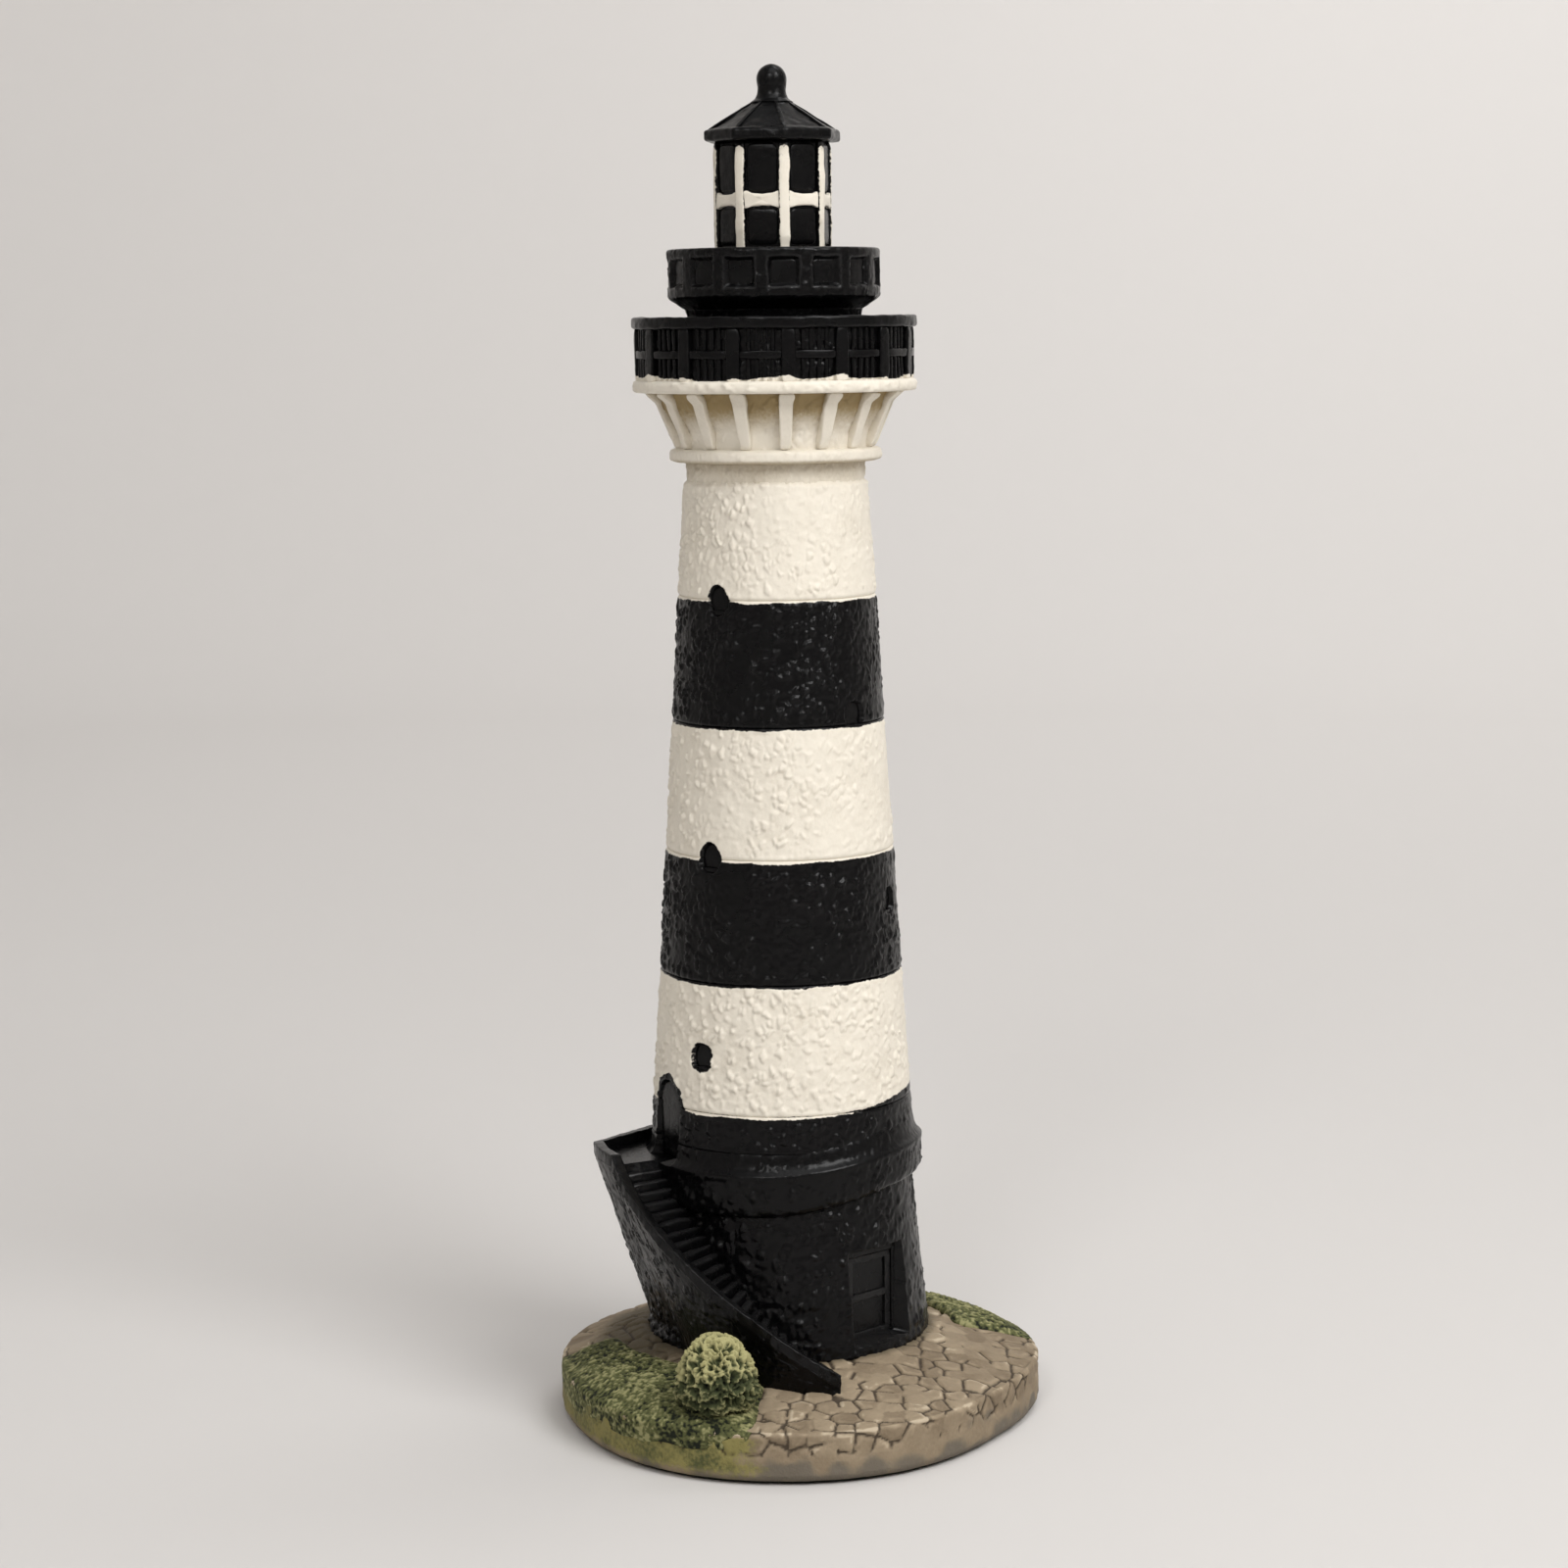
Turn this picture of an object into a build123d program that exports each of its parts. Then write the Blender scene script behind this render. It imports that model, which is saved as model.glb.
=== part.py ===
from build123d import *
import os
from math import cos, radians, sin

# A lighthouse figurine, cast and painted, made up of turned and modelled pieces.
# Millimetres, +Z up. The origin lies on the tower's axis, on the face that it stands on.
# Angles run about +Z from +X, so the side that faces the viewer, -Y, is at 270 degrees.

os.makedirs("parts", exist_ok=True)
DISC = (Align.CENTER, Align.CENTER, Align.MIN)

# Glued joints: a spigot on top of a piece enters a socket in the piece above it
glue_gap = 0.15
spigot_height = 2.4
shaft_spigot_radius = 8.0
head_spigot_radius = 5.0
tip_spigot_radius = 1.2
tip_spigot_height = 1.2

# Ground: felt, plinth with an uneven outline, and the paved mound that the tower stands on
felt_thickness = 0.8
felt_inset = 1.6
plinth_radius = 42.0
plinth_centre = (2.0, -8.5)
plinth_thickness = 8.0
plinth_rounding = 1.2
plinth_outline = (0.99, 1.04, 1.07, 1.08, 1.08, 1.03, 0.965, 0.955, 1.005, 1.01, 0.975, 0.93)
mound_height = 4.0
mound_margin = 0.6

# Planting: two lawns that lie on the mound, and a bush
lawn_thickness = 1.5
front_lawn_angles = (189, 264)
front_lawn_inner = 0.69 * plinth_radius
rear_lawn_angles = (2, 48)
rear_lawn_inner = 0.83 * plinth_radius
bush_width = 15.0
bush_depth = 11.6
bush_height = 14.2
bush_angle = 255.0
bush_distance = 1.03 * plinth_radius

# Lower storey, belt course and shaft
foot_bottom_radius = 25.0
foot_taper = 2.7
foot_top_radius = foot_bottom_radius - foot_taper
foot_height = 24.9
belt_height = 10.0
belt_projection = 1.85
belt_slope = 3.2
belt_radius = foot_top_radius + belt_projection
shaft_setback = 1.7
shaft_taper = 6.95
shaft_bottom_radius = belt_radius - shaft_setback
shaft_top_radius = shaft_bottom_radius - shaft_taper
drum_1_height = 6.2
drum_2_height = 21.9
drum_3_height = 20.8
drum_4_height = 22.0
drum_5_height = 21.0
drum_6_height = 19.5
joint_chamfer = 0.35

# Corbel and main gallery
neck_setback = 0.3
neck_radius = shaft_top_radius - neck_setback
neck_height = 3.0
ring_projection = 2.7
ring_radius = neck_radius + ring_projection
ring_height = 2.3
ring_chamfer = 0.5
bell_setback = 1.8
bell_spread = 3.7
bell_bottom_radius = ring_radius - bell_setback
bell_top_radius = bell_bottom_radius + bell_spread
bell_height = 9.3
bracket_count = 16
bracket_width = 2.3
bracket_projection = 0.95
bracket_flare = 1.9
bracket_flare_height = 1.2
bracket_angle = 5.4
bracket_root = 1.0
cornice_overhang = 4.1
cornice_radius = bell_top_radius + cornice_overhang
cornice_height = 2.1
cornice_chamfer = 0.3
gallery_setback = 1.2
gallery_radius = cornice_radius - gallery_setback
gallery_height = 8.5
post_count = 16
post_width = 2.3
post_relief = 0.85
post_angle = 5.6
rail_height = 1.3
rail_relief = 0.75
baluster_count = 4
baluster_width = 0.75
baluster_relief = 0.5
cap_height = 1.9
cap_width = 2.4
cap_overhang = 0.45
cap_chamfer = 0.4

# Watch room, lantern gallery and lantern
gallery_walk = 7.7
watch_room_radius = gallery_radius - gallery_walk
watch_room_height = 2.9
parapet_overhang = 2.9
parapet_radius = watch_room_radius + parapet_overhang
parapet_height = 8.0
parapet_thickness = 1.7
parapet_slope = 2.2
parapet_deck_drop = 1.5
panel_count = 15
panel_width = 5.4
panel_height = 5.0
panel_rounding = 0.8
panel_recess = 0.9
panel_thickness = 0.45
panel_gap = 0.3
panel_angle = 5.5
lantern_sides = 8
lantern_walk = 8.5
lantern_radius = parapet_radius - lantern_walk
lantern_height = 17.5
lantern_angle = 11.3
mullion_width = 1.7
mullion_relief = 0.65
transom_height = 1.9
transom_drop = 0.9
pane_thickness = 0.35
pane_gap = 0.5
pane_rounding = 0.7

# Roof and finial
eave_overhang = 2.3
eave_radius = lantern_radius + eave_overhang
eave_height = 2.0
eave_rounding = 3.0
roof_setback = 0.7
roof_radius = eave_radius - roof_setback
roof_tip_radius = 2.9
roof_height = 5.0
rib_width = 0.8
rib_relief = 0.35
finial_foot_setback = 0.3
finial_neck_radius = 2.35
finial_neck_height = 2.3
ball_radius = 2.6
ball_height = 3.6

# Windows, each by its angle and its sill's height above the belt course, and doors
window_width = 3.6
window_height = 4.8
window_depth = 1.5
window_pane_thickness = 0.5
window_sill_height = 0.8
window_gap = 0.1
window_places = {
    "window_front_high": (233.5, 89.4),
    "window_front_mid": (232.8, 46.6),
    "window_front_low": (231.0, 13.1),
    "window_side_high": (315.6, 70.1),
    "window_side_low": (338.0, 38.0),
}
upper_door_angle = 207.0
upper_door_width = 8.4
upper_door_height = 13.4
upper_door_depth = 1.5
upper_door_thickness = 0.6
lower_door_angle = 313.5
lower_door_width = 12.6
lower_door_height = 15.6
lower_door_sill = 1.6
lower_door_depth = 3.6
door_frame_width = 1.2
door_frame_depth = 1.1
door_thickness = 0.8
door_panel_depth = 0.35
door_panel_border = 1.2
door_gap = 0.1

# Stair that winds a fifth of a turn down from the landing, with its parapet
landing_drop = 3.2
landing_start_angle = 161.0
landing_corner_angle = 188.0
stair_top_angle = 208.0
stair_foot_angle = 284.0
stair_width = 8.85
stair_radius = belt_radius + stair_width
stair_spread = 4.4
stair_foot_rise = 2.9
step_count = 23
landing_section_count = 3
flight_section_count = 8
stair_wall_thickness = 1.8
stair_wall_height = 1.8
stair_batter = 0.42
stair_batter_loss = 0.7

# Levels, from the ground up
plinth_z = felt_thickness
mound_z = plinth_z + plinth_thickness
foot_z = mound_z + mound_height
belt_z = foot_z + foot_height
shaft_z = belt_z + belt_height
drum_heights = (drum_1_height, drum_2_height, drum_3_height, drum_4_height, drum_5_height, drum_6_height)
neck_z = shaft_z + sum(drum_heights)
ring_z = neck_z + neck_height
bell_z = ring_z + ring_height
cornice_z = bell_z + bell_height
gallery_z = cornice_z + cornice_height
deck_z = gallery_z + gallery_height
parapet_z = deck_z + watch_room_height
parapet_top = parapet_z + parapet_slope + parapet_height
lantern_z = parapet_top - parapet_deck_drop
eave_z = parapet_top + lantern_height
roof_z = eave_z + eave_height
finial_z = roof_z + roof_height
ball_z = finial_z + finial_neck_height
landing_z = shaft_z - landing_drop
stair_foot_z = mound_z + stair_foot_rise
windows = {label: (angle, shaft_z + rise) for label, (angle, rise) in window_places.items()}

pieces = []


def keep(builder, label):
    """Name a finished piece and put it with the others."""
    builder.part.label = label
    pieces.append(builder.part)


def spot(radius, angle):
    """Plan position at a radius and an angle."""
    return (radius * cos(radians(angle)), radius * sin(radians(angle)))


def wall_plane(angle, distance, height):
    """Upright plane that faces outward at an angle, with its origin at a distance from the axis."""
    outward = (cos(radians(angle)), sin(radians(angle)), 0)
    return Plane((*spot(distance, angle), height), x_dir=(-outward[1], outward[0], 0), z_dir=outward)


def radial_plane(angle):
    """Upright plane through the axis, whose own x runs outward and own y runs up."""
    outward = (cos(radians(angle)), sin(radians(angle)), 0)
    return Plane((0, 0, 0), x_dir=outward, z_dir=(outward[1], -outward[0], 0))


def turned(wall, socket=0, socket_depth=0, spigot=0, spigot_length=0):
    """A turned piece: its wall as (radius, height) pairs from below, a socket under it, a spigot on it."""
    low = wall[0][1]
    high = wall[-1][1]
    with BuildPart() as piece:
        with BuildSketch(Plane.XZ):
            with BuildLine():
                Polyline((0, low), *wall, (0, high), close=True)
            make_face()
        revolve(axis=Axis.Z)
        if spigot_length:
            with Locations((0, 0, high)):
                Cylinder(spigot, spigot_length, align=DISC)
        if socket_depth:
            with Locations((0, 0, low)):
                Cylinder(socket + glue_gap, socket_depth, align=DISC, mode=Mode.SUBTRACT)
    return piece


def shaft_radius(height):
    """Radius of the tapering shaft at a height."""
    part_way = (height - shaft_z) / (neck_z - shaft_z)
    return shaft_bottom_radius + part_way * (shaft_top_radius - shaft_bottom_radius)


def plinth_sketch(inset):
    """Uneven outline of the plinth as a face, moved inward by an inset."""
    turn = 360 / len(plinth_outline)
    corners = [spot(plinth_radius * share - inset, turn * i) for i, share in enumerate(plinth_outline)]
    with BuildSketch() as outline:
        with BuildLine():
            Spline(*[(x + plinth_centre[0], y + plinth_centre[1]) for x, y in corners], periodic=True)
        make_face()
    return outline.sketch


def ground(low, high):
    """Solid that rises evenly from the plinth's rim at one level to the tower's foot at another."""
    with BuildPart() as rise:
        with BuildSketch(Plane.XY.offset(low)):
            add(turf_outline)
        with BuildSketch(Plane.XY.offset(high)):
            Circle(foot_bottom_radius + mound_margin)
        loft()
    return rise


def wedge(start, stop, reach):
    """Corners of the wedge of the plan between two angles."""
    return [(0, 0), spot(reach, start), spot(reach, (start + stop) / 2), spot(reach, stop)]


def arch(width, height):
    """Round-headed opening that stands on the origin of the open sketch."""
    Rectangle(width, height - width / 2, align=(Align.CENTER, Align.MIN))
    with Locations((0, height - width / 2)):
        Circle(width / 2)


# Felt pad, plinth and mound
rim_outline = plinth_sketch(0)
felt_outline = plinth_sketch(felt_inset)
turf_outline = plinth_sketch(plinth_rounding)

with BuildPart() as felt_pad:
    extrude(felt_outline, amount=felt_thickness)
keep(felt_pad, "felt_pad")

with BuildPart() as base_plinth:
    with BuildSketch(Plane.XY.offset(plinth_z)):
        add(rim_outline)
    extrude(amount=plinth_thickness)
    fillet(base_plinth.edges().group_by(Axis.Z)[-1], plinth_rounding)
    with Locations((0, 0, mound_z)):
        Cylinder(shaft_spigot_radius, spigot_height, align=DISC)
keep(base_plinth, "base_plinth")

mound_envelope = ground(mound_z, foot_z)
with BuildPart() as paved_mound:
    add(mound_envelope.part)
    with Locations((0, 0, foot_z)):
        Cylinder(shaft_spigot_radius, spigot_height, align=DISC)
    with Locations((0, 0, mound_z)):
        Cylinder(shaft_spigot_radius + glue_gap, spigot_height + glue_gap, align=DISC, mode=Mode.SUBTRACT)
keep(paved_mound, "paved_mound")


turf_rise = ground(mound_z + lawn_thickness, foot_z + lawn_thickness)
with BuildPart() as turf:
    with BuildSketch(Plane.XY.offset(mound_z)):
        add(turf_outline)
    extrude(amount=lawn_thickness)
    add(turf_rise.part)


def lawn(angles, inner):
    """Patch of grass between two angles, from an inner radius to the plinth's rim, laid on the mound."""
    with BuildPart() as patch:
        add(turf.part)
        with BuildSketch(Plane.XY.offset(mound_z)):
            add(turf_outline)
            Polygon(*wedge(*angles, 3 * plinth_radius), align=None, mode=Mode.INTERSECT)
            Circle(inner, mode=Mode.SUBTRACT)
        extrude(amount=mound_height + lawn_thickness, mode=Mode.INTERSECT)
        add(mound_envelope.part, mode=Mode.SUBTRACT)
    return patch


front_lawn = lawn(front_lawn_angles, front_lawn_inner)
rear_lawn = lawn(rear_lawn_angles, rear_lawn_inner)
keep(front_lawn, "front_lawn")
keep(rear_lawn, "rear_lawn")

with BuildPart() as bush_form:
    Sphere(bush_width / 2)
    scale(by=(bush_depth / bush_width, 1, bush_height / bush_width))

bush_middle = (*spot(bush_distance, bush_angle), mound_z + bush_height / 2)
with BuildPart() as bush:
    with Locations(Location(bush_middle, (0, 0, bush_angle))):
        add(bush_form.part)
    add(turf.part, mode=Mode.SUBTRACT)
keep(bush, "bush")

# Lower storey with the alcove of its door
foot_wall = [(foot_bottom_radius, foot_z), (foot_top_radius, belt_z)]
foot_envelope = turned(foot_wall)
foot_blank = turned(
    foot_wall, shaft_spigot_radius, spigot_height + glue_gap, shaft_spigot_radius, spigot_height
)
alcove_back = foot_top_radius - lower_door_depth + (foot_bottom_radius - foot_top_radius) / 2
alcove_z = foot_z + lower_door_sill
with BuildPart() as tower_foot:
    add(foot_blank.part)
    with BuildSketch(wall_plane(lower_door_angle, alcove_back, alcove_z)):
        Rectangle(lower_door_width, lower_door_height, align=(Align.CENTER, Align.MIN))
    extrude(amount=foot_bottom_radius, mode=Mode.SUBTRACT)
keep(tower_foot, "tower_foot")

with BuildPart() as door_frame:
    with BuildSketch(wall_plane(lower_door_angle, alcove_back, alcove_z)):
        Rectangle(lower_door_width, lower_door_height, align=(Align.CENTER, Align.MIN))
        Rectangle(
            lower_door_width - 2 * door_frame_width, lower_door_height - door_frame_width,
            align=(Align.CENTER, Align.MIN), mode=Mode.SUBTRACT,
        )
    extrude(amount=door_frame_depth)
keep(door_frame, "door_frame")

leaf_width = lower_door_width - 2 * door_frame_width - 2 * door_gap
leaf_height = lower_door_height - door_frame_width - door_gap
leaf_panel_width = leaf_width - 2 * door_panel_border
leaf_panel_height = (leaf_height - 3 * door_panel_border) / 2
with BuildPart() as lower_door:
    with BuildSketch(wall_plane(lower_door_angle, alcove_back, alcove_z)):
        Rectangle(leaf_width, leaf_height, align=(Align.CENTER, Align.MIN))
    extrude(amount=door_thickness)
    with BuildSketch(wall_plane(lower_door_angle, alcove_back + door_thickness, alcove_z + leaf_height / 2)):
        with GridLocations(0, leaf_panel_height + door_panel_border, 1, 2):
            Rectangle(leaf_panel_width, leaf_panel_height)
    extrude(amount=-door_panel_depth, mode=Mode.SUBTRACT)
keep(lower_door, "lower_door")

# Belt course and shaft, with the niches of the windows and of the upper door
niches = []
for angle, sill in windows.values():
    back = shaft_radius(sill) - window_depth
    with BuildPart() as niche:
        with BuildSketch(wall_plane(angle, back, sill)):
            arch(window_width, window_height)
        extrude(amount=2 * window_depth)
    niches.append(niche.part)
upper_door_z = landing_z
upper_door_back = shaft_radius(shaft_z + upper_door_height / 2) - upper_door_depth
with BuildPart() as doorway:
    with BuildSketch(wall_plane(upper_door_angle, upper_door_back, upper_door_z)):
        arch(upper_door_width, upper_door_height)
    extrude(amount=stair_radius - upper_door_back)
niches.append(doorway.part)

belt_wall = [
    (foot_top_radius, belt_z),
    (belt_radius, belt_z + belt_slope),
    (belt_radius, shaft_z - belt_slope),
    (shaft_bottom_radius, shaft_z),
]
belt_envelope = turned(belt_wall)
belt_blank = turned(
    belt_wall, shaft_spigot_radius, spigot_height + glue_gap, shaft_spigot_radius, spigot_height
)
with BuildPart() as belt_course:
    add(belt_blank.part)
    add(doorway.part, mode=Mode.SUBTRACT)
keep(belt_course, "belt_course")

head_pin = neck_height + ring_height + spigot_height
drum_z = shaft_z
for number, height in enumerate(drum_heights, 1):
    drum_top = drum_z + height
    last = number == len(drum_heights)
    wall = [
        (shaft_radius(drum_z) - joint_chamfer, drum_z),
        (shaft_radius(drum_z + joint_chamfer), drum_z + joint_chamfer),
        (shaft_radius(drum_top), drum_top),
    ]
    pin = head_pin if last else spigot_height
    drum_blank = turned(wall, shaft_spigot_radius, spigot_height + glue_gap, shaft_spigot_radius, pin)
    with BuildPart() as drum:
        add(drum_blank.part)
        for opening in niches:
            add(opening, mode=Mode.SUBTRACT)
    keep(drum, f"shaft_drum_{number}")
    drum_z = drum_top

for label, (angle, sill) in windows.items():
    back = shaft_radius(sill) - window_depth
    with BuildPart() as window:
        with BuildSketch(wall_plane(angle, back, sill)):
            arch(window_width - 2 * window_gap, window_height - window_gap)
        extrude(amount=window_pane_thickness)
        with BuildSketch(wall_plane(angle, back, sill)):
            Rectangle(window_width - 2 * window_gap, window_sill_height, align=(Align.CENTER, Align.MIN))
        extrude(amount=window_depth - window_gap)
    keep(window, label)

with BuildPart() as upper_door:
    with BuildSketch(wall_plane(upper_door_angle, upper_door_back, upper_door_z)):
        arch(upper_door_width - 2 * door_gap, upper_door_height - door_gap)
    extrude(amount=upper_door_thickness)
keep(upper_door, "upper_door")


# Landing and stair: sections across them, joined by straight rulings
section_core = 2.5


def flight_share(angle):
    """How far down the flight an angle lies: 0 on the landing, 1 at the foot."""
    return max(0, angle - stair_top_angle) / (stair_foot_angle - stair_top_angle)


def nose_height(angle):
    """Height of the line over the nosings: level on the landing, then falling evenly to the foot."""
    return landing_z + flight_share(angle) * (stair_foot_z - landing_z)


def edge_radius(angle):
    """Outer radius: it draws in behind the landing's corner and spreads towards the foot of the stair."""
    behind = max(0, landing_corner_angle - angle) / (landing_corner_angle - landing_start_angle)
    drawn_in = behind * (stair_radius - belt_radius - glue_gap)
    return stair_radius - drawn_in + flight_share(angle) * stair_spread


def mass_section(angle):
    """Section of the solid mass under the treads, whose outer face leans in towards the ground."""
    batter = stair_batter * (1 - stair_batter_loss * flight_share(angle))
    top = nose_height(angle)
    foot = max(2 * section_core, edge_radius(angle) - batter * (top - mound_z))
    return [(section_core, mound_z), (foot, mound_z), (edge_radius(angle), top), (section_core, top)]


def wall_section(angle):
    """Section of the low parapet on the outer edge."""
    outer = edge_radius(angle)
    inner = outer - stair_wall_thickness
    low = nose_height(angle)
    high = low + stair_wall_height
    return [(inner, low), (outer, low), (outer, high), (inner, high)]


def spaced(start, stop, count):
    """Angles from start to stop in equal steps."""
    return [start + (stop - start) * i / count for i in range(count + 1)]


landing_angles = [landing_start_angle] + spaced(landing_corner_angle, stair_top_angle, landing_section_count)
flight_angles = spaced(stair_top_angle, stair_foot_angle, flight_section_count)

with BuildPart() as landing_slab:
    for angle in landing_angles:
        with BuildSketch(radial_plane(angle)):
            Polygon(*mass_section(angle), align=None)
    loft(ruled=True)
    for neighbour in (foot_envelope, belt_envelope, mound_envelope):
        add(neighbour.part, mode=Mode.SUBTRACT)
keep(landing_slab, "landing_slab")

with BuildPart() as landing_parapet:
    for angle in landing_angles:
        with BuildSketch(radial_plane(angle)):
            Polygon(*wall_section(angle), align=None)
    loft(ruled=True)
    add(belt_envelope.part, mode=Mode.SUBTRACT)
    add(landing_slab.part, mode=Mode.SUBTRACT)
keep(landing_parapet, "landing_parapet")

step_turn = (stair_foot_angle - stair_top_angle) / step_count
step_rise = (landing_z - stair_foot_z) / step_count
with BuildPart() as stair_flight:
    for angle in flight_angles:
        with BuildSketch(radial_plane(angle)):
            Polygon(*mass_section(angle), align=None)
    loft(ruled=True)
    for step in range(step_count):
        start = stair_top_angle + step * step_turn
        with BuildSketch(Plane.XY.offset(landing_z - (step + 1) * step_rise)):
            near = edge_radius(start) - stair_wall_thickness
            far = edge_radius(start + step_turn) - stair_wall_thickness
            Polygon((0, 0), spot(near, start), spot(far, start + step_turn), align=None)
        extrude(amount=2 * step_rise, mode=Mode.SUBTRACT)
    for neighbour in (foot_envelope, belt_envelope, mound_envelope, landing_slab, front_lawn):
        add(neighbour.part, mode=Mode.SUBTRACT)
keep(stair_flight, "stair_flight")

with BuildPart() as stair_parapet:
    for angle in flight_angles:
        with BuildSketch(radial_plane(angle)):
            Polygon(*wall_section(angle), align=None)
    loft(ruled=True)
    add(stair_flight.part, mode=Mode.SUBTRACT)
    add(mound_envelope.part, mode=Mode.SUBTRACT)
keep(stair_parapet, "stair_parapet")

# Neck, ring, bell, brackets and cornice under the main gallery
shaft_neck = turned([(neck_radius, neck_z), (neck_radius, ring_z)], shaft_spigot_radius, neck_height)
keep(shaft_neck, "shaft_neck")

corbel_ring = turned(
    [
        (ring_radius - ring_chamfer, ring_z),
        (ring_radius, ring_z + ring_chamfer),
        (ring_radius, bell_z - ring_chamfer),
        (ring_radius - ring_chamfer, bell_z),
    ],
    shaft_spigot_radius, ring_height,
)
keep(corbel_ring, "corbel_ring")

bell_wall = [(bell_bottom_radius, bell_z), (bell_top_radius, cornice_z)]
bell_envelope = turned(bell_wall)
corbel_bell = turned(
    bell_wall, shaft_spigot_radius, spigot_height + glue_gap,
    shaft_spigot_radius, cornice_height + spigot_height,
)
keep(corbel_bell, "corbel_bell")

flare_z = cornice_z - bracket_flare_height
flare_share = bracket_flare_height / bell_height
flare_radius = bell_top_radius - flare_share * (bell_top_radius - bell_bottom_radius) + bracket_projection
bracket_side = [
    (bell_bottom_radius - bracket_root, bell_z),
    (bell_bottom_radius + bracket_projection, bell_z),
    (flare_radius, flare_z),
    (flare_radius + bracket_flare, cornice_z),
    (bell_bottom_radius - bracket_root, cornice_z),
]
with BuildPart() as corbel_brackets:
    for i in range(bracket_count):
        with BuildSketch(radial_plane(270 + bracket_angle + i * 360 / bracket_count)):
            Polygon(*bracket_side, align=None)
        extrude(amount=bracket_width / 2, both=True)
    add(bell_envelope.part, mode=Mode.SUBTRACT)
keep(corbel_brackets, "corbel_brackets")

cornice_slab = turned(
    [
        (cornice_radius - cornice_chamfer, cornice_z),
        (cornice_radius, cornice_z + cornice_chamfer),
        (cornice_radius, gallery_z - cornice_chamfer),
        (cornice_radius - cornice_chamfer, gallery_z),
    ],
    shaft_spigot_radius, cornice_height,
)
keep(cornice_slab, "cornice_slab")

# Main gallery: drum, posts, mid rail, balusters in two rows, cap rail
gallery_drum = turned(
    [(gallery_radius, gallery_z), (gallery_radius, deck_z)],
    shaft_spigot_radius, spigot_height + glue_gap, shaft_spigot_radius, spigot_height,
)
keep(gallery_drum, "gallery_drum")

post_start = 270 + post_angle
post_turn = 360 / post_count
with BuildPart() as gallery_posts:
    with BuildSketch(Plane.XY.offset(gallery_z)):
        with PolarLocations(gallery_radius, post_count, start_angle=post_start):
            Rectangle(4 * post_relief, post_width)
        Circle(gallery_radius + post_relief, mode=Mode.INTERSECT)
        Circle(gallery_radius, mode=Mode.SUBTRACT)
    extrude(amount=gallery_height)
keep(gallery_posts, "gallery_posts")

rail_z = gallery_z + (gallery_height - rail_height) / 2
with BuildPart() as gallery_mid_rail:
    with BuildSketch(Plane.XY.offset(rail_z)):
        Circle(gallery_radius + rail_relief)
        Circle(gallery_radius, mode=Mode.SUBTRACT)
        with PolarLocations(gallery_radius, post_count, start_angle=post_start):
            Rectangle(4 * post_relief, post_width, mode=Mode.SUBTRACT)
    extrude(amount=rail_height)
keep(gallery_mid_rail, "gallery_mid_rail")

baluster_turn = post_turn / (baluster_count + 1)
baluster_rows = {"gallery_balusters_low": gallery_z, "gallery_balusters_high": rail_z + rail_height}
for label, low in baluster_rows.items():
    with BuildPart() as balusters:
        with BuildSketch(Plane.XY.offset(low)):
            for k in range(baluster_count):
                first = post_start + (k + 1) * baluster_turn
                with PolarLocations(gallery_radius, post_count, start_angle=first):
                    Rectangle(4 * baluster_relief, baluster_width)
            Circle(gallery_radius + baluster_relief, mode=Mode.INTERSECT)
            Circle(gallery_radius, mode=Mode.SUBTRACT)
        extrude(amount=(gallery_height - rail_height) / 2)
    keep(balusters, label)

cap_radius = gallery_radius + post_relief + cap_overhang
with BuildPart() as gallery_cap_rail:
    with BuildSketch(Plane.XY.offset(deck_z)):
        Circle(cap_radius)
        Circle(cap_radius - cap_width, mode=Mode.SUBTRACT)
    extrude(amount=cap_height)
    chamfer(gallery_cap_rail.edges().filter_by(GeomType.CIRCLE).group_by(SortBy.RADIUS)[-1], cap_chamfer)
keep(gallery_cap_rail, "gallery_cap_rail")

# Watch room and lantern gallery with its recessed panels
watch_room = turned(
    [(watch_room_radius, deck_z), (watch_room_radius, parapet_z)],
    shaft_spigot_radius, spigot_height + glue_gap, head_spigot_radius, spigot_height,
)
keep(watch_room, "watch_room")

panel_back = parapet_radius - panel_recess
panel_z = parapet_z + parapet_slope + parapet_height / 2
panel_angles = [270 + panel_angle + i * 360 / panel_count for i in range(panel_count)]
parapet_wall = [
    (watch_room_radius, parapet_z),
    (parapet_radius, parapet_z + parapet_slope),
    (parapet_radius, parapet_top),
    (parapet_radius - parapet_thickness, parapet_top),
    (parapet_radius - parapet_thickness, lantern_z),
]
parapet_blank = turned(
    parapet_wall, head_spigot_radius, spigot_height + glue_gap, head_spigot_radius, spigot_height
)
with BuildPart() as lantern_gallery:
    add(parapet_blank.part)
    for angle in panel_angles:
        with BuildSketch(wall_plane(angle, panel_back, panel_z)):
            RectangleRounded(panel_width, panel_height, panel_rounding)
        extrude(amount=2 * panel_recess, mode=Mode.SUBTRACT)
keep(lantern_gallery, "lantern_gallery")

with BuildPart() as gallery_panels:
    for angle in panel_angles:
        with BuildSketch(wall_plane(angle, panel_back, panel_z)):
            RectangleRounded(
                panel_width - 2 * panel_gap, panel_height - 2 * panel_gap, panel_rounding - panel_gap
            )
        extrude(amount=panel_thickness)
keep(gallery_panels, "gallery_panels")

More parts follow.
